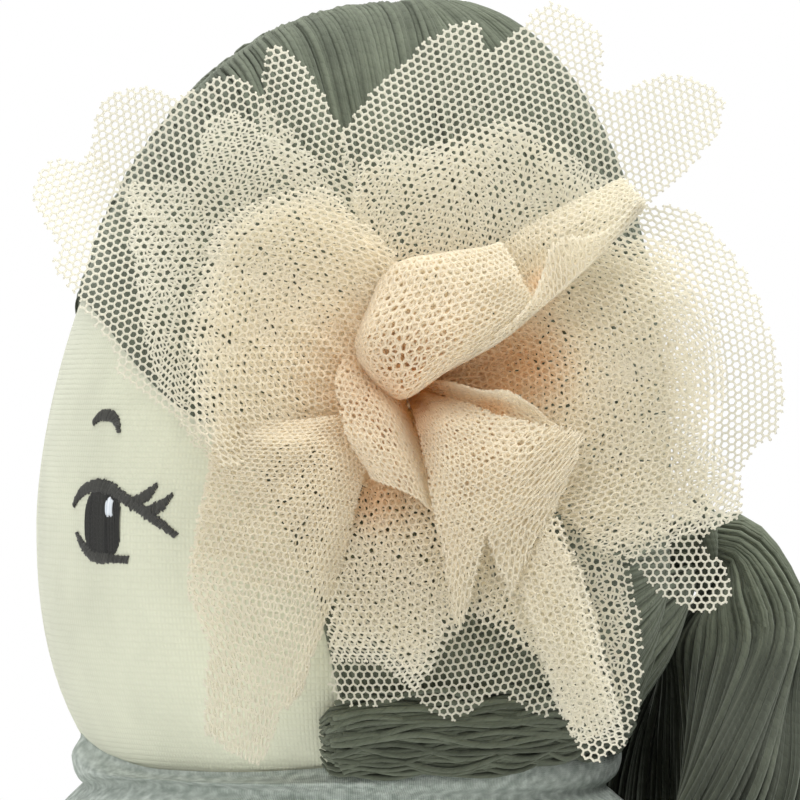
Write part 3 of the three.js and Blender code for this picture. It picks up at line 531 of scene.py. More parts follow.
def new_material(name, roughness, sheen=0.0, metallic=0.0):
    """A material, its node tree and its shader with the values that are the same all over."""
    made = bpy.data.materials.new(name)
    made.use_nodes = True
    shader = made.node_tree.nodes["Principled BSDF"]
    values = {"Roughness": roughness, "Metallic": metallic, "Sheen Weight": sheen, "Sheen Roughness": 0.5,
              "Specular IOR Level": 0.5 if metallic else 0.2}
    for key, value in values.items():
        shader.inputs[key].default_value = value
    return made, made.node_tree, shader


def paint(shader, colour, height=None, depth=0.0):
    """Feeds a shader its colour, and a bump of a depth in millimetres."""
    feed(shader.inputs["Base Color"], colour)
    if height is not None:
        feed(shader.inputs["Normal"], give(height.tree, "Bump", {"Height": height, "Distance": depth * MM}))


def cloth(name, dark, light, pitch, depth, blotch, gap_shade, kind="woven", wander=0.3, contrast=2.0):
    """A woven or knitted cloth: threads as bump, painted shade between them, with an uneven dye."""
    made, tree, shader = new_material(name, 0.9, 0.2)
    uv = cloth_map(tree)
    if kind == "woven":
        threads = use("woven threads", Vector=uv, Across=pitch[0], Along=pitch[1], Wander=wander)
    else:
        threads = use("knit columns", Vector=uv, Pitch=pitch[0])
    # The gap term darkens the colour between threads: painted shade.
    share = (blotches(uv, blotch, contrast) - threads["Gap"] * gap_shade).maths("ADD", 0.15, clamp=True)
    paint(shader, blend(share, dark, light), threads["Height"], depth)
    return made


def yarn(name, dark, light, deep):
    """Matt yarn: each strand its own shade, fibres along it, painted shade where plies meet and where the
    strand's shade is below 0.
    """
    made, tree, shader = new_material(name, 0.95, 0.35)
    shader.inputs["Sheen Tint"].default_value = (*srgb(194, 202, 184), 1)
    ply = use("plied yarn", Vector=cloth_map(tree), Ply=3.6)
    shade = attribute(tree, "shade")
    share = shade * 0.45 + ply["Fibre"] * 0.5 + blotches(object_place(tree), 110.0, 2.2) * 0.35 - 0.15
    # Painted shade: the colour goes toward the yarn shadow in the dips between plies and for shades below 0.
    seen = ply["Height"].ranged(0.25, 0.95, 0.55, 1.0) * shade.ranged(-1.2, 0.0, 0.5, 1.0)
    paint(shader, blend(seen, deep, blend(share, dark, light)), ply["Height"], 0.07)
    return made


def tulle(name, rim, glow_shade, pit_shade):
    """Net threads: pale at the rim, with a painted glow of light through the gathered layers and painted
    shade beside the knot.

    The threads let part of the light through, and their shadows are weaker than they look themselves.
    """
    made, tree, shader = new_material(name, 0.7, 0.1)
    share = attribute(tree, "glow_shade")
    fleck = noise(object_place(tree), 900.0, 2.0)
    # The attribute blends from the rim colour through the painted glow to the painted shade of the pit.
    mixed = blend(share.ranged(0.4, 1.0), blend(share.ranged(0.0, 0.4), rim, glow_shade), pit_shade)
    colour = blend(fleck.ranged(0.55, 0.8, 0.0, 0.4), mixed, dimmed(glow_shade, 0.9))
    paint(shader, colour, fleck, 0.05)
    seen = give(tree, "LightPath", output="Is Camera Ray")
    feed(shader.inputs["Alpha"], seen.ranged(0.0, 1.0, 0.14, 0.6))
    through_light = give(tree, "BsdfTranslucent", {"Color": colour})
    both = give(tree, "MixShader", {0: 0.4, 1: Signal(tree, shader.outputs[0]), 2: through_light})
    feed(tree.nodes["Material Output"].inputs["Surface"], both)
    return made


def thread(name, dark, light):
    """Embroidery thread: fibres along each stitch, each stitch its own shade."""
    made, tree, shader = new_material(name, 0.75, 0.2)
    ply = use("plied yarn", Vector=cloth_map(tree), Ply=0.9)
    paint(shader, blend(attribute(tree, "shade"), dark, light), ply["Height"], 0.05)
    return made


def felted(name, dark, light, scale=600.0, depth=0.25, roughness=0.95, sheen=0.3):
    """Pressed fibres: a fine noise for the nap and a soft one for handling wear."""
    made, tree, shader = new_material(name, roughness, sheen)
    position = object_place(tree)
    nap = noise(position, scale, 5.0, Roughness=0.7)
    share = nap * 0.6 + blotches(position, 60.0, 2.0) * 0.4
    paint(shader, blend(share, dark, light), nap, depth)
    return made


def brushed_steel(name):
    """Steel with fine marks that vary its gloss."""
    made, tree, shader = new_material(name, 0.35, 0.0, 1.0)
    mark = noise(object_place(tree), 2500.0, 3.0)
    feed(shader.inputs["Roughness"], mark.ranged(0.0, 1.0, 0.25, 0.5))
    paint(shader, blend(mark, srgb(160, 162, 165), srgb(205, 207, 210)), mark, 0.02)
    return made


def sizes():
    """The thread sizes that the panel shows."""
    return bpy.context.scene.doll_sizes


def yarn_radius(draw, low, high, count):
    """Half the yarn's width in millimetres, times a share drawn for each strand."""
    return sizes().yarn_width / MM / 2 * draw.uniform(low, high, (count, 1))


def finish_of(name):
    """The object's materials, each made once."""
    c = bpy.context.scene.doll_colours
    melange = {"kind": "knit", "blotch": 0.5, "contrast": 2.2, "gap_shade": 0.6}
    makers = {
        "skin": lambda: cloth("skin cloth", dimmed(c.skin, 0.84), c.skin, (0.8, 0.72), 0.12, wander=0.25,
                              blotch=0.06, gap_shade=0.25),
        "yarn": lambda: yarn("hair yarn", c.yarn_dark, c.yarn_light, c.yarn_deep),
        "tulle": lambda: tulle("tulle net", c.tulle_rim, c.tulle_glow, c.tulle_pit_shade),
        "jersey": lambda: cloth("melange jersey", c.jersey_dark, c.jersey_light, (0.62,), 0.16, **melange),
        "rib": lambda: cloth("ribbed jersey", c.jersey_dark, c.jersey_light, (0.8,), 0.2, **melange),
        "trousers": lambda: cloth("trouser twill", dimmed(c.trousers, 0.6), c.trousers, (0.5, 0.7), 0.14,
                                  blotch=0.1, contrast=2.4, gap_shade=0.4),
        "eye": lambda: thread("dark thread", c.eye_dark, c.eye_light),
        "shine": lambda: thread("white thread", srgb(196, 204, 212), srgb(232, 236, 240)),
        "cream": lambda: thread("cream thread", srgb(206, 172, 132), srgb(230, 204, 166)),
        "felt": lambda: felted("backing felt", srgb(214, 190, 158), srgb(240, 222, 194)),
        "shoe": lambda: felted("shoe felt", srgb(170, 152, 128), srgb(206, 190, 165)),
        "sole": lambda: felted("sole suede", srgb(112, 94, 76), srgb(148, 128, 104), 900.0, 0.15),
        "stuffing": lambda: felted("stuffing fibre", srgb(226, 222, 212), srgb(246, 243, 236), 250.0, 0.8),
        "fibreboard": lambda: felted("fibreboard", srgb(134, 104, 72), srgb(172, 140, 102), 1500.0, 0.08,
                                     0.8, 0.0),
        "steel": lambda: brushed_steel("pin steel"),
    }
    if name not in MATERIALS:
        MATERIALS[name] = makers[name]()
    return MATERIALS[name]


# Head, face and hair

def head_skin():
    """The egg as rings from the neck hole over the chin to the crown; the cloth's wall is put inside it."""
    a = turn_of(160) / DEG
    chin = HEAD_Z - HEAD["chin"]
    low = HEAD_Z - HEAD["chin"] * np.sin(np.linspace(1, 0, 26)[:-1] * 90 * DEG)
    high = HEAD_Z + HEAD["rise"] * np.sin(np.linspace(0, 0.985, 46) * 90 * DEG)
    z = np.concatenate([low, high])
    body = head_point(a[None, :], z[:, None])
    edge = float(head_radius(chin))
    flat = np.linspace(HEAD["hole"], edge - 0.8, 12)
    base = ring(a * DEG - math.pi / 2, 0, 0, np.full(12, chin), flat, flat)
    rows = np.concatenate([base, body])
    crown = [0, float(head_lean(HEAD_Z + HEAD["rise"])), HEAD_Z + HEAD["rise"]]
    made = surface("cloth_head", rows, (TURN * HEAD["radius"], 200), last=crown, outward=False)
    thicken(made, HEAD["skin"], -1.0)
    return made


def face_point(side, u, v, lift):
    """A place on the face from arc length and height about the iris."""
    z = HEAD_Z + EYE["height"] + v
    azimuth = side * (EYE["azimuth"] + u / (HEAD["radius"] * DEG))
    return head_point(azimuth, z, lift)


EYE_STROKES = [
    [[-8.6, 2.9, 0.4], [-7.0, 4.7, 0.75], [-4.4, 6.0, 0.95], [-1, 6.4, 1.1], [2.2, 5.9, 1.1],
     [4.8, 4.8, 0.95], [8.7, 3.2, 0.85], [12.6, 1.2, 0.85], [17.7, -1.9, 0.5]],
    [[7.6, 3.2, 0.9], [10.8, 4.6, 1.0], [12.2, 5.6, 0.7], [13.3, 6.7, 0.3]],
    [[11, 1.9, 1.0], [14.2, 3.0, 0.95], [15.6, 4.0, 0.65], [16.7, 5.1, 0.3]],
    [[-7.2, -1.9, 0.35], [-6.2, -3.2, 0.65], [-4.2, -4.7, 0.9], [-1.4, -6.0, 0.95], [1.8, -6.1, 0.8],
     [7.1, -6.2, 0.55]],
]
BROW = [[-5.2, 17.2, 0.5], [-3.8, 18.3, 0.75], [-1.6, 18.6, 0.9], [0.5, 18.2, 0.85], [1.8, 17.2, 0.7],
        [2.7, 15.7, 0.4]]
STITCH_STEP = 0.26
STITCH_RADIUS = 0.17


def satin(strokes, draw):
    """Stitches laid slantwise across each stroke, side by side along it, with ragged ends."""
    starts = []
    ends = []
    for stations in strokes:
        table = np.array(stations, float)
        run = run_of(table[:, :2])
        count = int(run[-1] / STITCH_STEP)
        line = through(np.column_stack([run, table]), np.linspace(0, run[-1], count))
        way = unit(np.gradient(line[:, :2], axis=0))
        across = np.stack([-way[:, 1], way[:, 0]], -1) + 0.35 * way
        half = line[:, 2:3] * draw.uniform(0.8, 1.24, (count, 2))
        starts.append(line[:, :2] - across * half[:, :1])
        ends.append(line[:, :2] + across * half[:, 1:])
    return np.concatenate(starts), np.concatenate(ends)


def filled_oval(u, v, half_u, half_v, draw):
    """Upright stitches side by side over an oval, with ragged ends."""
    count = int(2 * half_u / STITCH_STEP)
    x = np.linspace(-1, 1, count + 2)[1:-1]
    half = half_v * (1 - np.abs(x)**2.8)**(1 / 2.8)
    ragged = draw.uniform(-0.25, 0.3, (2, count))
    starts = np.stack([u + x * half_u, v - half - ragged[0]], -1)
    ends = np.stack([u + x * half_u + draw.uniform(-0.1, 0.1, count), v + half + ragged[1]], -1)
    return starts, ends


def stitched(name, side, starts, ends, lift, shade, draw, stations=6):
    """Each stitch is a thin strand that comes up out of the cloth, crosses it and goes down again."""
    t = np.linspace(0, 1, stations)
    flat = mix(starts[:, None], ends[:, None], t[None, :, None])
    rise = lift + 0.2 * np.sin(np.pi * t)**0.5 + draw.uniform(-0.03, 0.05, (len(starts), 1))
    paths = face_point(side, flat[..., 0], flat[..., 1], rise)
    normal = face_point(side, flat[..., 0], flat[..., 1], rise + 1) - paths
    return tubes(name, paths, STITCH_RADIUS, 4, normal, shade)


def eyes():
    """Both embroidered eyes, their white shines and brows."""
    for side, name in SIDES:
        draw = np.random.default_rng(31)
        starts, ends = satin(EYE_STROKES, draw)
        low, high = filled_oval(0.35, 0, EYE["half_width"], EYE["half_height"], draw)
        shade = np.concatenate([draw.uniform(0.45, 1, len(starts)), draw.uniform(0, 0.35, len(low))])
        eye = stitched(f"embroidered_eye_{name}", side, np.concatenate([starts, low]),
                       np.concatenate([ends, high]), 0.05, shade, draw, 8)
        place(eye, "head", [f"eye_{name}"], "eye")
        starts, ends = filled_oval(2.6, 2.7, 1.0, 1.6, draw)
        shade = draw.uniform(0, 1, len(starts))
        shine = stitched(f"embroidered_shine_{name}", side, starts, ends, 0.3, shade, draw)
        place(shine, "head", [f"eye_shine_{name}"], "shine")
        starts, ends = satin([BROW], draw)
        shade = draw.uniform(0.4, 1, len(starts))
        brow = stitched(f"embroidered_brow_{name}", side, starts, ends, 0.05, shade, draw)
        place(brow, "head", [f"brow_{name}"], "eye")


HAIRLINE = [[0, 40], [20, 36], [32, 30], [45, 22], [55, 17], [63, 13], [70, 1], [76, -12], [80, -25],
            [180, -25]]
STATIONS = 36


def hair_base(side):
    """The layer under the strands, from the crown to the hairline, a closed slab."""
    azimuth = np.concatenate([np.linspace(0, 60, 21)[:-1], np.linspace(60, 84, 13)[:-1],
                              np.linspace(84, 180, 24)])
    low = HEAD_Z + through(HAIRLINE, azimuth)
    t = np.sin(np.linspace(0, 1, 28) * 90 * DEG)**0.9
    layers = []
    for outside in (0, 1):
        grow = HAIR["seat"] + outside * (0.1 + 0.6 * smoothstep(t, 0, 0.3))[:, None]
        top = HEAD_Z + (HEAD["rise"] + grow) * 0.9999
        z = low[None, :] + (top - low[None, :]) * t[:, None]
        points = head_point(side * azimuth[None, :], z, grow)
        points[..., 0] += side * 0.25
        layers.append(points)
    return layers


def on_head(points, side, grow):
    """Points near the head moved onto it, straight out from its middle: by azimuth and by elevation."""
    crown = (HEAD["rise"] + 1.7) * np.sin(np.linspace(0, 90, 400) * DEG)
    rise = np.concatenate([np.linspace(-62.5, 0, 80)[:-1], crown])
    elevation = np.arctan2(rise, head_radius(HEAD_Z + rise, 1.7))
    y = points[..., 1] - head_lean(points[..., 2])
    azimuth = np.arctan2(np.abs(points[..., 0]), -y) / DEG
    flat = np.hypot(points[..., 0], y)
    z = HEAD_Z + np.interp(np.arctan2(points[..., 2] - HEAD_Z, flat), elevation, rise)
    made = head_point(azimuth, np.minimum(z, HEAD_Z + HEAD["rise"] + grow), grow)
    made[..., 0] = (made[..., 0] + 0.2) * side
    return made


def lay_strands(first, last, count, draw):
    """Strands between two lines on the head, evenly spaced and slightly uneven."""
    share = (np.arange(count) + 0.5 + draw.uniform(-0.3, 0.3, count)) / count
    a = along(first, STATIONS)
    b = along(last, STATIONS)
    paths = a[None] + (b - a)[None] * share[:, None, None]
    down = np.linspace(0, 1, STATIONS)[None] * 9
    paths[..., 1] += waves(share[:, None] * 60, down, seed=int(draw.integers(99))) * 0.5
    return paths


def hair_half(side, name):
    """One half of the hair: sweeps of yarn over a base, and the strands that leave the head for the tie.

    The sweeps run from the parting down to the jaw, from the crown back to the tie, from the nape up to
    the tie, and behind the ear.
    """
    draw = np.random.default_rng(17 if side > 0 else 18)

    def at(azimuth, rise):
        return head_point(np.array(azimuth, float), HEAD_Z + np.array(rise, float), 1.2)

    front = at([0, 10, 20, 32, 45, 55, 63, 70, 76, 80], [40, 38.5, 36, 30, 22, 17, 11, 0, -13, -30])
    middle = at([90, 92, 93, 94, 95, 96, 98, 100, 102, 104], [92.199, 89, 80, 68, 52, 34, 16, -2, -16, -30])
    swept = at([91, 92.5, 94, 96.5, 101, 110, 126, 146, 166, 178],
               [92.199, 89, 80, 68, 52, 35, 19, 7, 0, -3])
    back = at([179.5] * 10, [92.199, 88, 79, 70, 60, 50, 38, 26, 12, 1])
    low = at([103, 108, 114, 121, 130, 140, 150, 160, 169, 177],
             [-30, -29, -27, -24.5, -21.5, -18.5, -15, -12, -9, -7])
    nape = at([179.5] * 10, [-29, -27, -25, -22.5, -20, -17.5, -15, -12.5, -10, -8])
    behind = at([101, 104, 107, 111, 117, 125, 135, 147, 160, 175], [-6, -3, 0, 2, 2, 1, 0, -1, -2, -3])
    sweeps = [lay_strands(first, last, count, draw) for first, last, count in
              ((front, middle, 140), (swept, back, 100), (low, nape, 52), (behind, low, 40))]
    t = np.linspace(0, 1, STATIONS)
    sink = 1.3 * (1 - smoothstep(t, 0, 0.05))
    crest = 0.8 * smoothstep(t, 0, 0.04) * (1 - smoothstep(t, 0.12, 0.4))
    thin = 1.6 * (1 - smoothstep(np.linspace(0, 1, len(sweeps[0]))[:, None], 0, 0.25))
    lifts = [-np.maximum(sink[None], thin), (crest - sink)[None], 0, 0]
    paths = [on_head(p, side, 1.85 + lift + draw.uniform(-0.35, 0.4, (len(p), 1)))
             for p, lift in zip(sweeps, lifts)]
    paths = np.concatenate([*paths, tie_strands(side, draw)])
    taper = np.clip(np.minimum(t, 1 - t) * 14 + 0.45, 0, 1)
    radius = yarn_radius(draw, 0.82, 1.1, len(paths)) * taper[None]
    strands = tubes(f"strands_{name}", paths, radius, 5, paths - np.array([0, 2.0, HEAD_Z + 10]))
    inner, outer = hair_base(side)
    base = slab(f"base_{name}", outer, inner, (150, 110))
    return join([strands, base], f"yarn_hair_{name}")


def tie_strands(side, draw):
    """Strands that leave the head about its nape and gather, free of it, at the underside of the tie."""
    count = 60
    share = (np.arange(count) + 0.5) / count
    across = draw.uniform(0, 1, count)
    low = head_point(180 - 17 * across - 20 * (1 - share) * across, HEAD_Z - 36 + 27 * share, 1.6)
    end = np.stack([4.2 * across, 63.7 + 0 * share, 314.2 + 2.2 * share], -1)
    bulge = np.stack([0 * share, 1.6 * (1 - share), -1.2 * (1 - share)], -1)
    middle = low * 0.55 + end * 0.45 + bulge
    upper = low * 0.2 + end * 0.8 + bulge * 0.6
    paths = along(np.stack([low, middle, upper, end]), STATIONS).swapaxes(0, 1)
    paths[..., 0] = side * (paths[..., 0] + 0.3)
    return paths


def slab(name, front, back, size):
    """A closed sheet between two grids of points."""
    rows, cols = front.shape[:2]
    quads, r, c = grid_faces(rows, cols)
    cloth_uv = np.stack([c * size[0] / (cols - 1), r * size[1] / (rows - 1)], -1)
    far = rows * cols
    across = np.arange(cols)
    down = np.arange(rows) * cols
    border = np.concatenate([across[:-1], down[:-1] + cols - 1, far - 1 - across[:-1], down[::-1][:-1]])
    following = np.roll(border, -1)
    rim = np.stack([border, border + far, following + far, following], -1)
    points = np.concatenate([front.reshape(-1, 3), back.reshape(-1, 3)])
    faces = [quads, quads[:, ::-1] + far, rim]
    uvs = [cloth_uv, cloth_uv[:, ::-1], np.zeros((len(rim), 4, 2))]
    # The sheet's shade of 0.3, darker than most strands, is painted shade where it shows between them.
    return make_mesh(name, points, faces, uvs, {"shade": np.full(len(points), 0.3)}, outward=True)


BUNDLE_SIZE = [[75, 0.1], [77, 0.6], [81, 0.9], [88, 1], [100, 1], [112, 0.95], [124, 0.7], [138, 0.45],
               [152, 0.4], [163, 0.3]]
GOLDEN_ANGLE = 2.399963


def nape_bundle(side, name):
    """Wavy strands spread evenly over a bundle's oval section, carried round the nape."""
    draw = np.random.default_rng(23 if side > 0 else 24)
    count = 190
    z = HEAD_Z - HEAD["chin"] + 28
    thick = HAIR["bundle_thickness"] / 2
    middle = float(head_radius(z)) + HAIR["seat"] + thick
    turn = np.arange(count) * GOLDEN_ANGLE
    share = np.sqrt((np.arange(count) + 0.5) / count)
    start = draw.uniform(0, 0.06, (count, 1))
    t = start + (1 - start) * np.linspace(0, 1, 46)[None]
    where = 75.5 + (163 - 75.5) * t
    size = through(BUNDLE_SIZE, where)
    wave = waves(where * 0.2 + turn[:, None], turn[:, None] * 3, seed=3) * 1.5
    across = thick * 0.82 * size * (share * np.sin(turn))[:, None]
    up = HAIR["bundle_height"] / 2 * 0.88 * np.sqrt(size) * (share * np.cos(turn))[:, None] + wave
    up = up - 1.2 * (1 - smoothstep(where, 75, 86))
    r = middle + 0.3 * up - thick * (1 - np.minimum(1, size * 1.15)) + across
    a = where * DEG
    paths = np.stack([side * r * np.sin(a), -r * np.cos(a), z + up], -1)
    taper = np.clip(np.minimum(t, 1 - t) * 16 + 0.4, 0, 1)
    radius = yarn_radius(draw, 0.7, 1.0, count) * taper
    return tubes(f"yarn_nape_{name}", paths, radius, 5, paths * [1, 1, 0])


TAIL_Y = float(head_radius(TAIL["z"])) + HAIR_GROW + GAP + TAIL["root"]


def tail_section(turn, share):
    """Places in the ponytail's sections, one row for each section from the root to the tip.

    The first sections turn from backwards to down, the others hang: ovals bent round the head's back.
    """
    root = TAIL["root"]
    bend = [[-0.9 * root, 0, 0, 0.75 * root, 0.75 * root, 1], [0, 0, 0, 0.95 * root, 0.95 * root, 1],
            [4.6, 0, 0, root, root, 1], [7.4, 1.2, -25, 8, 6.4, 1.2], [10, 6, -52, 13, 7.6, 2.0],
            [11.8, 15, -74, 18, 9.4, 1.8]]
    rows = []
    for back, down, slope, half_width, half, full in bend:
        s, c = math.sin(slope * DEG), math.cos(slope * DEG)
        near = np.where(np.sin(turn) < 0, full, 1.0)
        out = half * near * np.sin(turn) * share
        rows.append(stack(half_width * np.cos(turn) * share, TAIL_Y + back - s * out,
                          TAIL["z"] - down + c * out))
    hang = [[0.2, 25, 0.66], [0.29, 44, 0.92], [0.39, 54, 1], [0.49, 51, 1], [0.6, 40, 0.95],
            [0.74, 30, 0.85], [0.87, 23, 0.66], [0.96, 15, 0.42]]
    thick = TAIL["thickness"] / 2
    for down, angle, share_thick in hang:
        half = TAIL["thickness"] * share_thick / 2
        middle = TAIL["inner"] + thick - 0.3 * (thick - half)
        azimuth = angle * DEG * np.cos(turn) * share
        near = np.where(np.sin(turn) < 0, (middle - TAIL["inner"]) / half, 1.0)
        r = middle + (half * near - 0.7) * np.sin(turn) * share
        rows.append(stack(r * np.sin(azimuth), r * np.cos(azimuth), TAIL["z"] - down * TAIL["length"]))
    return np.stack(rows)


def ponytail():
    """Strands on and inside the ponytail's skin, over a core painted dark as the shade inside the tail, from
    the tie to the uneven tip.
    """
    draw = np.random.default_rng(41)
    core = along(tail_section(turn_of(72), 0.84), 48)[4:41]
    # The core's shade of -1.2 gives it the yarn's shadow colour: painted shade inside the tail.
    sets = [surface("tail_shadow_core", core, (200, 150), first=core[0].mean(0), last=core[-1].mean(0),
                    values={"shade": -1.2})]
    fine = 90
    for count, low, high, stations, sides in ((320, 0.92, 1.0, 46, 5), (150, 0.6, 0.86, 28, 4)):
        turn = (np.arange(count) + draw.uniform(-0.3, 0.3, count)) / count * TURN
        share = draw.uniform(low, high, count)
        ridge = 0.5 + 0.5 * np.sin(turn * 31 + 2.5 * waves(turn * 3, turn, seed=8))
        lines = along(tail_section(turn, share * (0.93 + 0.07 * ridge)), fine)
        t = np.linspace(0, 1, stations)[None] * draw.uniform(0.93, 1.0, (count, 1))
        k = np.clip((t * (fine - 1)).astype(int), 0, fine - 2)
        f = (t * (fine - 1) - k)[..., None]
        picked = np.arange(count)[:, None]
        drift = np.stack([waves(turn[:, None] * 8, t * 10, seed=s) for s in (1, 2, 3)], -1)
        loose = smoothstep(t, 0.1, 0.4)[..., None]
        paths = mix(lines[k, picked], lines[k + 1, picked], f) + drift * loose * [1.3, 1.0, 0.4]
        ends = np.clip(np.minimum(t, t[:, -1:] - t) * 18 + 0.5, 0, 1)
        radius = yarn_radius(draw, 0.85, 1.12, count) * ends
        radius = radius * (0.6 + 0.4 * smoothstep(t, 0.02, 0.2))
        centre = lines.mean(1)
        middle = mix(centre[k], centre[k + 1], f)
        # Painted shade in the hollows between ridges, painted light near the root and painted shade down the
        # tail.
        shade = draw.uniform(0, 1, (count, 1)) - 0.7 * (1 - ridge[:, None])
        shade = shade + 0.8 - 1.9 * smoothstep(t, 0.08, 0.3)
        sets.append(tubes(f"tail_{count}", paths, radius, sides, paths - middle + [0, 0, 0.01], shade))
    return join(sets, "yarn_ponytail")


def hair_tie():
    """A gathered ring of yarn round the root: a torus whose tube swells in small ridges."""
    a = turn_of(240)[:, None]
    b = turn_of(20)[None, :]
    tube = 1.5 + 0.1 * np.abs(np.sin(a * 24))
    r = TAIL["root"] + GAP + 1.6 + tube * np.cos(b)
    rows = stack(r * np.cos(a), TAIL_Y + 1.4 + tube * np.sin(b), TAIL["z"] + r * np.sin(a))
    return surface("gathered_tie", rows, (10, 50), loop=True, values={"shade": 0.4})


# The flower, in the plane that faces away from the head's side: across towards the back, up, and depth

FACING = FLOWER["azimuth"] * DEG
OUTWARD = np.array([math.sin(FACING), -math.cos(FACING), 0.0])
ACROSS = np.array([math.cos(FACING), math.sin(FACING), 0.0])
PHOTO = {"distance": 900.0, "across": 9.72, "z": 346.4, "scale": 0.18}


def hair_depth(across, up):
    """How far out the hair's surface lies in front of a place on the flower's plane."""
    z = FLOWER["z"] + np.asarray(up, float)
    r = head_radius(z, HAIR_GROW)
    off = FLOWER["back"] + np.asarray(across, float) - head_lean(z) * math.sin(FACING)
    return np.sqrt(np.clip(r * r - off * off, 0, None)) - head_lean(z) * math.cos(FACING)


felt_turn = turn_of(24)
felt_rim = hair_depth(FELT["radius"] * np.cos(felt_turn), FELT["radius"] * np.sin(felt_turn))
FELT_DEPTH = GAP + float(max(hair_depth(0, 0), felt_rim.max()))
PETAL_DEPTH = FELT_DEPTH + FELT["thickness"] + GAP


def flower_place(across, up, depth):
    """A place given across and up from the flower's middle and by its depth, towards the viewer."""
    flat = (FLOWER["back"] + across)[..., None] * ACROSS + np.asarray(depth)[..., None] * OUTWARD
    flat[..., 2] = FLOWER["z"] + up
    return flat


def picture_spot(across, up, depth):
    """Where the main camera sees that place, in an 800 by 800 picture."""
    near = PHOTO["scale"] * (1 - depth / PHOTO["distance"])
    x = 400 + (FLOWER["back"] + across - PHOTO["across"]) / near
    y = 400 - (FLOWER["z"] + up - PHOTO["z"]) / near
    return x, y


def plane_spot(x, y, depth):
    """Across and up from the flower's middle for a spot of that picture at a depth."""
    near = PHOTO["scale"] * (1 - np.asarray(depth, float) / PHOTO["distance"])
    across = PHOTO["across"] + (np.asarray(x, float) - 400) * near - FLOWER["back"]
    up = PHOTO["z"] - (np.asarray(y, float) - 400) * near - FLOWER["z"]
    return across, up


def layer_depth(level, angle, radius):
    """Depth of a layer: bowed back with the head above and beside the middle, ruffled towards the rim."""
    upper = (1 + np.sin(angle)) / 2
    beyond = np.clip(radius - 12.0, 0, None)
    bow = (0.0014 - 0.0052 * upper**0.8) * beyond**2
    rim = (beyond / 48.0)**2
    ruffle = (1.6 + 2.9 * upper) * rim * np.sin(7 * angle)
    return PETAL_DEPTH + level * (FLOWER["layer"] + FLOWER["spread"] * radius) + bow + ruffle


def inside(x, y, outline):
    """Whether spots lie inside a closed outline, by counting its edges to one side of each."""
    found = np.zeros(np.shape(x), bool)
    corners = np.array(outline, float)
    for (x0, y0), (x1, y1) in zip(corners, np.roll(corners, -1, 0)):
        spans = (y0 > y) != (y1 > y)
        cut = x0 + (y - y0) * (x1 - x0) / (y1 - y0 if y1 != y0 else 1e-9)
        found ^= spans & (x < cut)
    return found


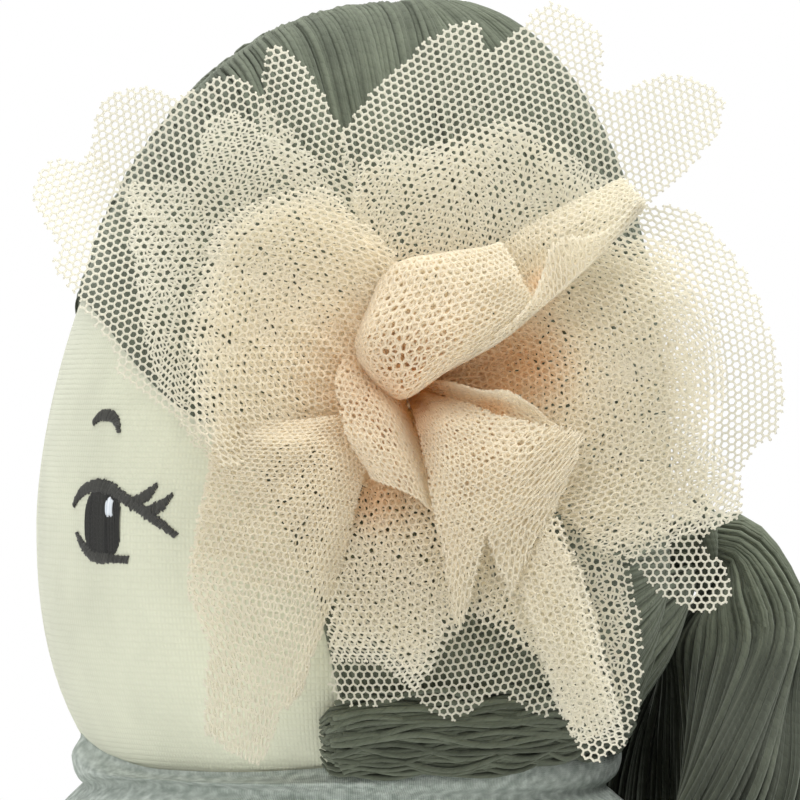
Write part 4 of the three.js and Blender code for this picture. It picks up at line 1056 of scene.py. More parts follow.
def net_ply(form, low, high, kept, glow_shade, seed, tilt):
    """One ply of a hexagonal net on a surface: its points, faces, the painted glow and shade of each point
    and its cut.

    form turns flat cloth places, in millimetres, into places on the doll. Two threads' crossings make each
    cell: each crossing is a small triangle, and each thread between crossings is a strip from one
    triangle's side to the next one's. Threads that a cut edge passes end in short stubs. tilt turns the
    net's rows in the cloth, in degrees.
    """
    pitch = sizes().net_pitch / MM
    edge = pitch / math.sqrt(3)
    corner = sizes().net_strand / MM / math.sqrt(3)
    draw = np.random.default_rng(seed)
    middle = (np.array(low) + high) / 2
    reach = (np.array(high) - low) / 2 + pitch
    if tilt:
        reach = np.full(2, np.hypot(*reach))
    row_count = int(2 * reach[1] / (1.5 * edge)) + 2
    col_count = int(2 * reach[0] / pitch) + 2
    row, col = np.meshgrid(np.arange(row_count), np.arange(col_count), indexing="ij")
    upper = np.stack([pitch * (col + 0.5 * (row % 2)), 1.5 * edge * row], -1) - reach
    spots = np.stack([upper, upper - [0, edge]]).reshape(2, -1, 2)
    spots = spots + draw.uniform(-0.045, 0.045, spots.shape) * pitch
    ways = np.array([[[-30, 90, 210]], [[30, 150, 270]]]) * DEG
    around = spots[:, :, None] + corner * np.stack([np.cos(ways), np.sin(ways)], -1)
    c, s = math.cos(tilt * DEG), math.sin(tilt * DEG)
    turned = np.array([[c, s], [-s, c]])
    spots = spots @ turned + middle
    around = around @ turned + middle
    centre = form(spots[..., 0], spots[..., 1])
    arms = form(around[..., 0], around[..., 1]) - centre[:, :, None]
    size = np.linalg.norm(arms, axis=-1, keepdims=True)
    arms = arms / np.maximum(size, 1e-6) * np.maximum(size, 0.8 * corner).clip(0, corner)
    points = (centre[:, :, None] + arms).reshape(-1, 3)
    keep = kept(spots[..., 0], spots[..., 1], centre)
    total = row_count * col_count
    number = np.arange(2 * total * 3).reshape(2, total, 3)
    row, col = row.ravel(), col.ravel()
    index = row * col_count + col
    odd = row % 2
    right = index + col_count + odd
    has_above = row + 1 < row_count
    right_ok = has_above & (col + odd < col_count)
    left_ok = has_above & (col + odd - 1 >= 0)
    strips = []
    stubs = []
    links = ((index, np.ones(total, bool), (2, 0), (1, 0)), (right, right_ok, (0, 1), (2, 1)),
             (right - 1, left_ok, (1, 2), (0, 2)))
    for other, valid, near, far in links:
        a = index[valid]
        b = other[valid]
        ends = np.stack([number[0, a, near[0]], number[1, b, far[0]], number[1, b, far[1]],
                         number[0, a, near[1]]], -1)
        strips.append(ends[keep[0, a] & keep[1, b]])
        stubs.append(ends[keep[0, a] & ~keep[1, b]])
        stubs.append(ends[~keep[0, a] & keep[1, b]][:, [2, 3, 0, 1]])
    value = np.repeat(glow_shade(spots[..., 0], spots[..., 1], centre)[:, :, None], 3, 2).ravel()
    stubs = np.concatenate(stubs)
    share = draw.uniform(0.2, 0.75, (len(stubs), 1))
    tips = [mix(points[stubs[:, i]], points[stubs[:, j]], share) for i, j in ((0, 1), (3, 2))]
    rank = len(points) + np.arange(len(stubs))
    ends = np.stack([stubs[:, 0], rank, rank + len(stubs), stubs[:, 3]], -1)
    value = np.concatenate([value, value[stubs[:, 0]], value[stubs[:, 3]]])
    points = np.concatenate([points, *tips])
    faces = [np.concatenate(strips), ends, number[keep]]
    used, fresh = np.unique(np.concatenate([f.ravel() for f in faces]), return_inverse=True)
    cuts = np.cumsum([f.size for f in faces])[:-1]
    faces = [part.reshape(f.shape) for part, f in zip(np.split(fresh.ravel(), cuts), faces)]
    flat = spots[keep]
    cut = (*(flat.max(0) - flat.min(0) + pitch), keep.sum() * pitch * 1.5 * edge / 2)
    return points[used], faces, value[used], cut


def net(name, plies):
    """A piece of net of one or more plies, and the width, length and area in metres that it was cut to."""
    points = np.concatenate([p[0] for p in plies])
    starts = np.cumsum([0] + [len(p[0]) for p in plies[:-1]])
    quads = np.concatenate([f + start for p, start in zip(plies, starts) for f in p[1][:2]])
    knots = np.concatenate([p[1][2] + start for p, start in zip(plies, starts)])
    made = make_mesh(name, points, [quads, knots], None, {"glow_shade": np.concatenate([p[2] for p in plies])})
    thicken(made, sizes().net_thickness / MM)
    cuts = np.array([p[3] for p in plies])
    return made, (cuts[:, 0].max() * MM, cuts[:, 1].sum() * MM), cuts[:, 2].sum() * MM * MM


SHADED_HOLLOWS = [[541, 283, 17, 13.8, 0.3], [496, 409, 16, 11.5, 0.22], [370, 498, 30, 6.5, 0.22],
           [528, 362, 42, 9, 0.3]]


def painted_glow_and_shade(across, up, depth, ply_count):
    """Painted light and shade in the net's colour: 0 single and outside, 0.4 the painted glow where it is
    doubled or gathered, 1 the painted shade deep beside the knot.

    Cloth that lies deep about the middle gets more of the painted glow that light takes on through the layers
    round it. The hollows of the folds get painted shade. A hollow is a spot of the picture with its radius,
    the depth behind which it shades, and how much it shades.
    """
    r = np.hypot(across, up)
    front = np.asarray(depth) - PETAL_DEPTH
    deep = np.clip(1.1 - front / 16, 0.15, 1)
    # The ply and middle terms are painted glow; the knot term and the hollows are painted shade.
    value = 0.06 + 0.08 * (min(ply_count, 3) - 1) * np.clip(1.5 - r / 55, 0.2, 1)
    value = value + 0.5 * np.exp(-(r / 26)**2) * (0.35 + 0.65 * deep)
    value = value + 0.5 * np.exp(-(r / 6.5)**2) * np.clip(1.4 - front / 12, 0, 1)
    for x, y, size, limit, share in SHADED_HOLLOWS:
        side, height = plane_spot(x, y, PETAL_DEPTH + limit - 2)
        near = np.exp(-((across - side)**2 + (up - height)**2) / (size * PHOTO["scale"])**2)
        value = value + share * near * smoothstep(limit - front, 0, 1.5)
    return np.clip(value, 0, 1)


# Each petal: its layer, how far its middle arches out, how straight its rows lie, the radius where the
# cloth lies flat, its plies, and its outline in the picture

KNOT = (405, 392)
PETALS = {
    "left_lobes": (0, 0.0, 0.8, 16, 1, [
        (224, 464), (194, 446), (179, 423), (150, 400), (138, 393), (122, 380), (115, 365), (108, 340),
        (97, 327), (82, 312), (76, 295), (61, 278), (54, 262), (60, 247), (53, 236), (48, 230), (42, 222),
        (38, 209), (33, 198), (34, 189), (36, 178), (43, 168), (53, 161), (64, 158), (80, 163), (89, 153),
        (98, 156), (112, 172), (150, 205)]),
    "tongue": (0, 1.0, 1.0, 16, 1, [
        (258, 125), (263, 97), (261, 85), (263, 74), (265, 55), (270, 46), (278, 45), (291, 51), (305, 66),
        (319, 89), (333, 112), (343, 130), (352, 160), (372, 230)]),
    "right": (0, 0.0, 0.5, 16, 1, [
        (600, 215), (650, 205), (680, 207), (700, 215), (722, 240), (745, 270), (760, 300), (770, 330),
        (780, 365), (784, 400), (780, 425), (770, 440), (752, 452), (745, 462), (740, 480), (743, 498),
        (743, 515), (735, 520), (700, 522), (600, 500)]),
    "bottom": (0, 0.0, 0.6, 16, 1, [
        (560, 640), (575, 700), (563, 709), (545, 716), (525, 708), (502, 693), (485, 700), (470, 714),
        (454, 720), (436, 715), (415, 696), (395, 700), (370, 707), (345, 705), (330, 690), (326, 640),
        (350, 560)]),
    "upper_left": (1, 0.0, 1.0, 16, 1, [
        (125, 200), (96, 165), (92, 150), (94, 122), (101, 104), (112, 93), (127, 87), (143, 87), (163, 93),
        (179, 97), (190, 91), (199, 87), (212, 78), (224, 75), (236, 74), (245, 77), (252, 88), (263, 97),
        (270, 112), (300, 140), (330, 190)]),
    "upper_right": (1, 0.0, 1.0, 16, 1, [
        (338, 138), (352, 118), (365, 100), (385, 80), (405, 61), (418, 47), (433, 36), (450, 25), (468, 19),
        (478, 24), (481, 34), (483, 43), (490, 49), (497, 48), (508, 36), (522, 23), (536, 10), (553, 3),
        (570, 9), (584, 19), (597, 30), (603, 46), (602, 68), (604, 89), (619, 93), (634, 86), (647, 79),
        (662, 75), (676, 75), (692, 78), (706, 84), (719, 93), (723, 102), (722, 118), (716, 135), (700, 158),
        (681, 176), (668, 190), (655, 201), (560, 290)]),
    "lower_right": (1, 0.0, 0.8, 16, 1, [
        (620, 470), (735, 515), (728, 523), (706, 536), (698, 545), (715, 555), (726, 568), (731, 585),
        (730, 598), (725, 605), (712, 614), (700, 614), (676, 604), (655, 590), (635, 566), (590, 530)]),
    "side_strip": (1, 0.0, 1.0, 16, 2, [
        (560, 520), (600, 545), (628, 560), (640, 620), (643, 660), (640, 700), (634, 722), (625, 745),
        (600, 740), (575, 740), (555, 700)]),
    "mid_left": (2, 0.0, 0.1, 16, 1, [
        (215, 470), (180, 420), (157, 385), (148, 350), (142, 318), (135, 280), (130, 240), (127, 210),
        (127, 184), (150, 180), (178, 184), (197, 172), (200, 140), (208, 118), (230, 112), (246, 116),
        (260, 130), (300, 150), (350, 170), (375, 240)]),
    "mid_right": (2, 0.0, 0.1, 16, 4, [
        (560, 260), (600, 240), (645, 235), (665, 240), (680, 250), (694, 266), (705, 285), (714, 312),
        (720, 340), (724, 370), (725, 400), (721, 418), (715, 430), (724, 455), (738, 480), (742, 500),
        (738, 515), (720, 526), (700, 530), (672, 544), (650, 552), (628, 560), (600, 552), (570, 520)]),
    "bottom_mid": (2, 0.0, 0.5, 16, 3, [
        (575, 560), (600, 620), (600, 700), (575, 690), (550, 664), (520, 648), (490, 627), (470, 618),
        (458, 634), (447, 645), (428, 675), (415, 691), (400, 680), (385, 668), (372, 661), (330, 661),
        (326, 620), (340, 540)]),
    "mid_upper": (3, 0.0, 0.3, 16, 2, [
        (350, 195), (360, 160), (385, 153), (410, 150), (445, 140), (475, 130), (495, 122), (515, 118),
        (540, 126), (560, 140), (576, 156), (590, 170), (615, 186), (640, 200), (600, 250)]),
    "strip": (3, 3.0, 0.8, 18, 3, [
        (470, 470), (485, 510), (510, 560), (535, 625), (556, 690), (570, 730), (580, 755), (590, 764),
        (606, 758), (620, 750), (624, 735), (615, 690), (600, 640), (585, 580), (560, 520), (520, 450)]),
    "front_left": (4, 0.4, 0.0, 15, 3, [
        (225, 470), (204, 440), (194, 420), (188, 380), (188, 350), (190, 320), (194, 300), (200, 280),
        (206, 252), (215, 225), (236, 210), (260, 200), (290, 190), (320, 185), (336, 196), (350, 210),
        (375, 230), (395, 250)]),
}


def petal(name, level, arch, straight, flat_from, ply_count, outline, seed):
    """A petal of net, gathered at the knot: rows run across it, columns run in to the knot and crowd there.

    The cloth's columns keep their width beyond a radius and share out the angle inside it. Its depth is
    its layer's, with an arch over the middle and small pleats that take up the width lost in gathering.
    Further plies lie behind the first, each turned a little in its own plane.
    """
    corners = np.array(outline, float)
    across, up = plane_spot(corners[:, 0], corners[:, 1], PETAL_DEPTH)
    angle = np.unwrap(np.arctan2(up, across))
    far = np.hypot(across, up).max()
    first, last = angle.min(), angle.max()
    centre = (first + last) / 2
    half = (last - first) / 2
    width = far * math.sin(min(half, math.pi / 2)) * straight + far * half * (1 - straight) + 3

    def polar(s, t):
        t = np.maximum(t, 0.5)
        gather = (t / flat_from) / (1 + (t / flat_from)**4)**0.25
        x = s * gather
        turn = centre - (1 - straight) * x / t - straight * np.arctan2(x, t)
        r = t + straight * (np.hypot(t, x) - t)
        return turn, r, gather

    def glow_shade(s, t, spot):
        turn, r, _ = polar(s, t)
        return painted_glow_and_shade(r * np.cos(turn), r * np.sin(turn), spot @ OUTWARD, ply_count)

    plies = []
    for ply in range(ply_count):
        phase = np.random.default_rng(seed + 50 * ply).uniform(0, TURN, 4)
        shape = np.array([KNOT, *mix(corners, np.array(KNOT, float), 0.05 * ply)])

        def form(s, t):
            turn, r, gather = polar(s, t)
            share = np.clip((turn - first) / (last - first), 0, 1)
            v = np.clip(r / far, 0, 1)
            swell = arch * np.sin(np.pi * share) * np.sin(np.pi * 0.9 * v**1.3)
            slack = np.sqrt(np.clip(1 - gather**2, 0, 1)) * np.clip(t / 9, 0.1, 1)
            pleat = 0.75 * np.sin(s * TURN / 6.1 + phase[0] + 0.05 * t)
            pleat = pleat + 0.4 * np.sin(s * TURN / 3.3 + phase[1])
            soft = 0.5 * np.sin(s / 5 + t / 7 + phase[2]) + 0.4 * np.sin(t / 4.2 - s / 9 + phase[3])
            depth = layer_depth(level, turn, r) + swell + pleat * slack + soft * np.clip(r / 25, 0, 1)
            return flower_place(r * np.cos(turn), r * np.sin(turn), depth - 0.4 * ply)

        def kept(s, t, spot):
            turn, r, _ = polar(s, t)
            x, y = picture_spot(r * np.cos(turn), r * np.sin(turn), spot @ OUTWARD)
            return inside(x, y, shape) & (t > FLOWER["root"])

        plies.append(net_ply(form, (-width, 0.0), (width, far + 2), kept, glow_shade, seed + ply, 17.0 * ply))
    return net(f"tulle_{name}", plies)


# The pieces rolled and folded over the middle, as sheets through control places: spots of the picture,
# with their depth in front of the first layer. Each row runs across the piece, and the rows go down it.

FOLDS = {
    "drape": ([
        [(222, 418, 8), (262, 420, 10), (300, 420, 11), (335, 415, 11), (375, 402, 7), (398, 396, 4)],
        [(212, 446, 9), (250, 449, 11.5), (290, 450, 12.5), (325, 448, 12.5), (352, 454, 10), (370, 462, 7)],
        [(206, 482, 7), (240, 487, 9.5), (278, 490, 11.5), (312, 492, 12), (338, 495, 11), (360, 500, 7)],
        [(195, 532, 5), (230, 537, 7.5), (265, 542, 9.5), (298, 547, 10.5), (324, 550, 10), (347, 553, 6)],
        [(186, 592, 3), (220, 597, 5.5), (254, 604, 7.5), (286, 610, 8.5), (312, 616, 8), (332, 620, 4.5)],
        [(200, 662, 2), (228, 670, 4), (256, 678, 5.5), (280, 686, 6), (297, 692, 5), (308, 696, 2)],
        [(204, 738, 1), (226, 750, 2.5), (246, 760, 3.5), (264, 766, 3.5), (277, 756, 2.5), (286, 742, 0)],
    ], [(398, 394), (362, 420), (300, 410), (222, 412), (205, 470), (196, 530), (189, 560), (187, 590),
        (192, 606), (202, 630), (210, 645), (209, 660), (204, 680), (206, 700), (203, 716), (204, 732),
        (216, 742), (235, 755), (250, 764), (262, 763), (272, 740), (281, 712), (291, 706), (303, 690),
        (310, 664), (322, 632), (334, 594), (344, 560), (352, 520), (366, 464), (385, 430)],
        (1, 1, 0.62, 0.56), 1.2, 1.0),
    "front_roll": ([
        [(392, 300, 4), (402, 290, 5), (420, 278, 6), (440, 272, 7), (462, 267, 8), (480, 264, 8.5),
         (496, 260, 9)],
        [(374, 302, 7), (386, 271, 9), (410, 259, 11), (435, 255, 12), (460, 251, 12.5), (482, 248, 13),
         (500, 243, 13)],
        [(362, 322, 10), (376, 305, 13), (408, 292, 15), (440, 284, 16), (470, 278, 16), (496, 270, 16),
         (514, 262, 15.5)],
        [(356, 343, 11), (368, 342, 14), (402, 335, 17), (438, 325, 18), (474, 311, 18), (504, 296, 17.5),
         (524, 284, 17)],
        [(360, 362, 10), (376, 376, 13), (406, 380, 16), (444, 357, 17.5), (482, 336, 17.5), (512, 314, 17),
         (532, 298, 16.5)],
        [(368, 368, 7), (382, 388, 9), (405, 398, 12), (443, 373, 14.5), (480, 348, 15), (513, 323, 15),
         (536, 304, 15)],
        [(385, 352, 5), (395, 362, 6), (412, 372, 8), (442, 357, 10), (478, 334, 12), (508, 313, 13),
         (530, 297, 13.5)],
    ], None, (1, 1, 1), 1.0, 1.2),
    "band": ([
        [(440, 300, 6), (478, 262, 8), (506, 242, 9), (535, 222, 9.5), (580, 198, 9), (622, 178, 7)],
        [(446, 322, 8), (488, 284, 10), (516, 262, 11), (545, 240, 11.5), (590, 210, 11), (630, 184, 9)],
        [(448, 345, 9), (500, 308, 11.5), (528, 284, 12), (553, 258, 12.5), (596, 224, 12.5), (637, 192, 10)],
        [(442, 368, 10), (505, 330, 13), (536, 302, 14), (560, 276, 14.5), (604, 238, 14), (643, 200, 10.5)],
        [(434, 378, 10.5), (500, 341, 15), (540, 308, 16), (567, 284, 16), (608, 246, 15), (645, 207, 10)],
        [(436, 372, 13), (496, 334, 17), (532, 300, 18), (556, 243, 18), (602, 232, 16.5), (641, 199, 11)],
    ], None, (1, 1, 1), 1.0, 1.1),
    "cone_left": ([
        [(345, 352, 8), (362, 362, 8), (380, 375, 7), (398, 388, 6), (404, 395, 3)],
        [(336, 378, 11), (358, 384, 12), (378, 392, 12), (396, 402, 10), (408, 412, 5)],
        [(339, 405, 13), (362, 408, 14.5), (384, 414, 14.5), (402, 424, 12), (415, 434, 6)],
        [(345, 432, 14), (368, 436, 15.5), (392, 442, 15), (410, 450, 12.5), (422, 458, 7)],
        [(358, 456, 13), (376, 462, 14.5), (399, 468, 14.5), (417, 474, 12), (427, 480, 7)],
        [(372, 478, 11), (386, 484, 13), (406, 492, 13), (424, 503, 11), (432, 510, 7)],
    ], None, (1, 1, 1), 1.1, 1.0),
    "cone_right": ([
        [(409, 398, 3), (412, 396, 5), (416, 395, 6), (422, 394, 6), (430, 394, 5)],
        [(417, 425, 9), (428, 424, 12), (441, 420, 13.5), (453, 412, 13), (462, 402, 10)],
        [(424, 455, 11), (442, 453, 14.5), (462, 446, 16), (482, 434, 16), (500, 415, 13)],
        [(431, 492, 12), (455, 488, 15.5), (482, 478, 17), (512, 460, 17), (545, 426, 14.5)],
        [(438, 530, 11.5), (464, 522, 14.5), (494, 510, 16), (526, 488, 16), (580, 430, 14)],
        [(447, 578, 10.5), (470, 560, 12), (500, 545, 14), (530, 520, 14), (576, 465, 12.5)],
        [(457, 634, 9), (474, 615, 10), (510, 606, 12), (535, 570, 12), (566, 498, 11)],
    ], [(409, 396), (400, 440), (425, 500), (434, 520), (445, 580), (454, 618), (460, 633), (467, 612),
        (475, 575), (486, 537), (498, 568), (511, 600), (520, 575), (535, 540), (560, 500), (575, 465),
        (582, 432), (560, 425), (540, 420), (508, 412), (482, 403), (455, 388), (433, 384)],
        (1, 1, 1), 1.05, 1.0),
    "cone_back": ([
        [(418, 404, 2), (420, 396, 4), (422, 390, 4), (424, 385, 5), (427, 381, 6)],
        [(456, 424, 4), (455, 402, 6), (452, 392, 7), (451, 386, 9), (450, 382, 10)],
        [(492, 442, 5), (490, 412, 8), (488, 402, 8.5), (484, 394, 11), (480, 390, 13)],
        [(526, 455, 6), (520, 420, 9), (514, 408, 9), (510, 398, 12), (508, 391, 14)],
        [(570, 465, 7), (560, 430, 10), (548, 420, 10), (538, 410, 11), (530, 404, 12)],
    ], None, (1, 1), 1.0, 1.0),
}


def cubic_shares(t):
    """The shares of four neighbours in a Catmull-Rom piece."""
    return [(-t + 2 * t**2 - t**3) / 2, (2 - 5 * t**2 + 3 * t**3) / 2, (t + 4 * t**2 - 3 * t**3) / 2,
            (t**3 - t**2) / 2]


def spread(grid, u, v):
    """A smooth sheet through a grid of places, for shares u across it and v down it."""
    grid = np.asarray(grid, float)
    rows, cols = grid.shape[:2]
    for _ in range(2):
        grid = prolonged(grid).swapaxes(0, 1)
    v = np.clip(v, -0.02, 1.02) * (rows - 1)
    u = np.clip(u, -0.02, 1.02) * (cols - 1)
    i = np.clip(v.astype(int), 0, rows - 2)
    j = np.clip(u.astype(int), 0, cols - 2)
    down = cubic_shares(v - i)
    over = cubic_shares(u - j)
    return sum(down[a][..., None] * over[b][..., None] * grid[i + a, j + b]
               for a in range(4) for b in range(4))


def fold(name, grid, outline, shares, ease_across, ease_down, seed):
    """A rolled or folded piece of net on a sheet through its control places, cut along its outline.

    It has a ply for each share, which says how far down the piece that ply reaches. The eases say how
    much more cloth is gathered into it than its own width and height.
    """
    grid = np.array(grid, float)
    depth = PETAL_DEPTH + grid[..., 2]
    across, up = plane_spot(grid[..., 0], grid[..., 1], depth)
    places = flower_place(across, up, depth)
    share = np.linspace(0, 1, 40)
    v, u = np.meshgrid(share, share, indexing="ij")
    fine = spread(places, u, v)
    width = ease_across * float(np.linalg.norm(np.diff(fine, axis=1), axis=-1).sum(1).mean())
    height = ease_down * float(np.linalg.norm(np.diff(fine, axis=0), axis=-1).sum(0).mean())
    plies = []
    for ply, reach in enumerate(shares):
        def form(s, t):
            spot = spread(places, s / width, t / height)
            soft = 0.25 * np.sin(s / 2.3 + t / 3.1) + 0.2 * np.sin(t / 1.7 - s / 4)
            return spot + OUTWARD * (soft[..., None] - 0.34 * ply)

        def kept(s, t, spot):
            found = (s > 0) & (s < width) & (t > 0) & (t < height * reach)
            if outline:
                flat = spot @ ACROSS - FLOWER["back"], spot[..., 2] - FLOWER["z"]
                found &= inside(*picture_spot(*flat, spot @ OUTWARD), outline)
            return found

        def glow_shade(s, t, spot):
            return painted_glow_and_shade(spot @ ACROSS - FLOWER["back"], spot[..., 2] - FLOWER["z"], spot @ OUTWARD, 3)

        plies.append(net_ply(form, (0.0, 0.0), (width, height), kept, glow_shade, seed + ply, 25.0 * ply))
    return net(f"tulle_{name}", plies)


def flower_felt():
    """The backing disc, with rounded edges, square to the flower's way out."""
    a = turn_of(96)
    profile = [[0.02, 0], [0.6, 0], [0.95, 0], [0.985, 0.12], [1, 0.5], [0.985, 0.88], [0.95, 1], [0.6, 1],
               [0.02, 1]]
    rows = []
    for share, rise in profile:
        r = FELT["radius"] * share * (1 + 0.006 * np.sin(a * 9))
        rows.append(flower_place(r * np.cos(a), r * np.sin(a),
                                 np.full_like(a, FELT_DEPTH + rise * FELT["thickness"])))
    near, far = [flower_place(*np.array([0.0, 0.0, FELT_DEPTH + rise * FELT["thickness"]]))
                 for rise in (0, 1)]
    return surface("backing_disc", np.stack(rows), (100, 40), first=near, last=far)


def gather_stitches():
    """The thread that gathers the layers: turns of thread round the knot, sunk in the cloth."""
    t = np.linspace(0, 1, 200)
    turns = 7
    a = t * TURN * turns
    r = 2.1 + 0.15 * np.sin(a * 2.3)
    depth = FELT_DEPTH + FELT["thickness"] + 0.6 + t * 2.4
    coil = flower_place(r * np.cos(a), r * np.sin(a), depth)
    normal = flower_place(2 * r * np.cos(a), 2 * r * np.sin(a), depth) - coil
    return tubes("gathering_thread", coil[None], 0.32, 6, normal[None])


# Clothes and body

COLLAR_DIP = [[0, 0.4], [6, -0.5], [19, -2.5], [33, -3.9], [49, -3.8], [70, -3.1], [81, -2.5], [110, -1],
              [150, 0], [180, 0]]


def collar():
    """The neckband: a roll against the head over a wider loose fold, with soft slanting creases.

    The roll's edge follows the head, sags at the sides and pushes its crease up there.
    """
    top = COLLAR["top"]
    low = COLLAR["low"]
    crease_z = top - 9.1

    def head(z):
        return float(head_radius(z)) + COLLAR["seat"]

    profile = [[32.0, low], [39, low], [49, low + 1], [54, low + 4], [COLLAR["fold"], low + 9],
               [53.6, low + 14], [48.4, top - 10.8], [COLLAR["crease"], crease_z], [48.7, top - 7],
               [COLLAR["roll"], top - 3.8], [head(top - 1.2) + 1.1, top - 0.9], [head(top) + 0.4, top],
               [head(top - 1), top - 1]]
    profile += [[head(top - d), top - d] for d in (4, 8, 12)] + [[33, low + 8]]
    line = along(profile, 120, closed=True)[:-1]
    a = turn_of(300)[None, :]
    r = line[:, :1]
    z = line[:, 1:]
    loose = smoothstep(r, 48.6, COLLAR["fold"])
    band = smoothstep(r, 46, 48.5) * smoothstep(z, top - 9, top - 7)
    crease = waves(14 * np.cos(a) + z / 3.4, 14 * np.sin(a) - z / 5, seed=12, count=6, low=0.4, high=1.0)
    dip = through(COLLAR_DIP, np.arccos(np.clip(-np.sin(a), -1, 1)) / DEG)
    sag = dip * (1.55 * smoothstep(z, crease_z, top) - 0.55 * smoothstep(z, low + 9, crease_z))
    shrink = smoothstep(z, crease_z, top - 5) * (head_radius(z + sag) - head_radius(z))
    chin = 1.2 * smoothstep(z, top - 4, top) * smoothstep(-np.sin(a), 0.8, 1)
    r = r + loose * 1.2 * np.sin(5 * a) + shrink - chin + (0.55 * loose + 0.28 * band) * crease
    rows = stack(r * np.cos(a), r * np.sin(a), z + sag + 0.25 * band * crease)
    return surface("jersey_collar", rows, (300, 110), loop=True)


TORSO_SHAPE = [[0, 44, 38], [0.14, 49, 43], [0.32, 50.5, 44], [0.5, 47.5, 42], [0.66, 43.3, 39],
               [0.78, 41.5, 35], [0.87, 41.5, 34], [0.95, 38.5, 33], [1, 33, 32]]
SWEATER_WALL = 1.5


def torso_rows(inset, count, around, wrinkle=0.0):
    """Rings of the stuffed body from the waist to the neckline, shrunk by an inset."""
    share = np.linspace(0, 1, count)
    half = through(TORSO_SHAPE, share)
    z = TORSO_Z + (NECKLINE_Z - TORSO_Z) * share
    a = turn_of(around)
    rows = ring(a, 0, 0, z, half[:, 0] - inset, half[:, 1] - inset)
    if wrinkle:
        soft = waves(6 * np.cos(a)[None] + z[:, None] / 16, 6 * np.sin(a)[None] - z[:, None] / 11, seed=8)
        out = rows * [1, 1, 0]
        rows = rows + unit(out) * (wrinkle * soft * np.sin(np.pi * share)[:, None])[..., None]
    return rows


def sweater():
    """The sweater's body: the torso's rings outside, softly wrinkled, and shrunk by its wall inside."""
    outer = torso_rows(0, 74, 180, 0.6)
    inner = torso_rows(SWEATER_WALL, 24, 180)
    return surface("knit_sweater", np.concatenate([outer, inner[::-1]]), (300, 220), loop=True)


def ribbed(profile, stations, ribs, rise, low, high):
    """A band's section as how far out it stands, with ribs on its outer face, and its heights."""
    line = along(profile, stations, closed=True)[:-1]
    return line[:, :1] + ribs[None] * smoothstep(line[:, :1], *rise), low + (high - low) * line[:, 1:]


def hem():
    """A ribbed band: an oval ring whose outer face rises in ribs, rounded at both edges."""
    a = turn_of(540)
    high = TORSO_Z - GAP
    profile = [[0.7, 0.02], [0.7, 0.98], [1.4, 1.0], [2.2, 0.99], [2.6, 0.93], [2.6, 0.6], [2.6, 0.3],
               [2.6, 0.07], [2.2, 0.01], [1.4, 0.0]]
    ribs = 0.35 + 0.35 * np.sin(a * HEM["ribs"])
    out, z = ribbed(profile, 40, ribs, (1.6, 2.6), high - HEM["height"], high)
    rows = stack((HEM["half_x"] + out) * np.cos(a), (HEM["half_y"] + out) * np.sin(a), z)
    return surface("ribbed_hem", rows, (250, 40), loop=True)


def seat():
    """The trouser seat: a shallow padded cup, and the tongue between the legs with a rounded end."""
    deep = 14.6
    t = np.linspace(0, 1, 12)
    z = SEAT_Z + deep * np.concatenate([0.2 * t**2, np.linspace(0.22, 1, 10)])
    grow = np.concatenate([-5 + 4.2 * np.sqrt(1 - (1 - t)**2), np.linspace(-0.7, 0, 10)])
    cup = ring(turn_of(120), 0, 0, z, HEM["half_x"] + grow, HEM["half_y"] + grow)
    cup = surface("cup", cup, (240, 30), first=[0, 0, SEAT_Z], last=[0, 0, SEAT_Z + deep])
    b = np.linspace(math.pi, TURN, 40)
    y = np.concatenate([3 + 13 * np.cos(b), [16, 16, -10, -10]])
    z = np.concatenate([HIP_Z + 13 * np.sin(b), [HIP_Z + 8, SEAT_Z + 2, SEAT_Z + 2, HIP_Z + 8]])
    x = np.array([-8, -7.9, -7.2, -6, 0, 6, 7.2, 7.9, 8])[:, None]
    shrink = np.array([0.88, 0.95, 0.99, 1, 1, 1, 0.99, 0.95, 0.88])[:, None]
    middle = np.array([3.0, HIP_Z + 4])
    rows = stack(x, middle[0] + (y - middle[0])[None] * shrink, middle[1] + (z - middle[1])[None] * shrink)
    tongue = surface("tongue", rows, (80, 16), first=[-8, *middle], last=[8, *middle])
    return join([cup, tongue], "trouser_body")


ARM_SHARE = [[0, 1], [14, 1.02], [30, 0.98], [48, 0.93], [66, 0.86], [82, 0.76], [92, 0.73], [117, 0.73]]
WRIST = 92


def arm_drift(s):
    """How far an arm's middle has moved outwards at a distance below the hinge."""
    return 10 * smoothstep(s, 0, 36) + 0.05 * np.clip(s - 36, 0, None)


def arm_rows(side, grow, low, count, around, end=None):
    """Rings of an arm grown by a distance, from near its domed top down to a distance below the hinge."""
    wide = ARM["radius"]
    s = np.concatenate([-wide * np.cos(np.linspace(0.16, 1, 14) * 90 * DEG), np.linspace(1, low, count)])
    dome = np.sqrt(np.clip(1 - (np.minimum(s, 0) / wide)**2, 0, 1))
    share = np.where(s < 0, dome, through(ARM_SHARE, s))
    half_x = half_y = wide * share + grow
    lift = np.where(s < 0, wide * (1 - share) * 0.6, 0)
    x = ARM["face"] - grow + arm_drift(s) + lift + half_x
    if end is not None:
        tip = through(end, s)
        hand = smoothstep(s, WRIST - 2, WRIST + 5)
        x = mix(x, ARM["face"] + arm_drift(WRIST) + 8.6 + 0.8 * hand, hand)
        half_x = mix(half_x, tip[:, 0], hand)
        half_y = mix(half_y, tip[:, 1], hand)
    return ring(turn_of(around), side * x, 0, SHOULDER_Z - s, half_x, half_y), side * x


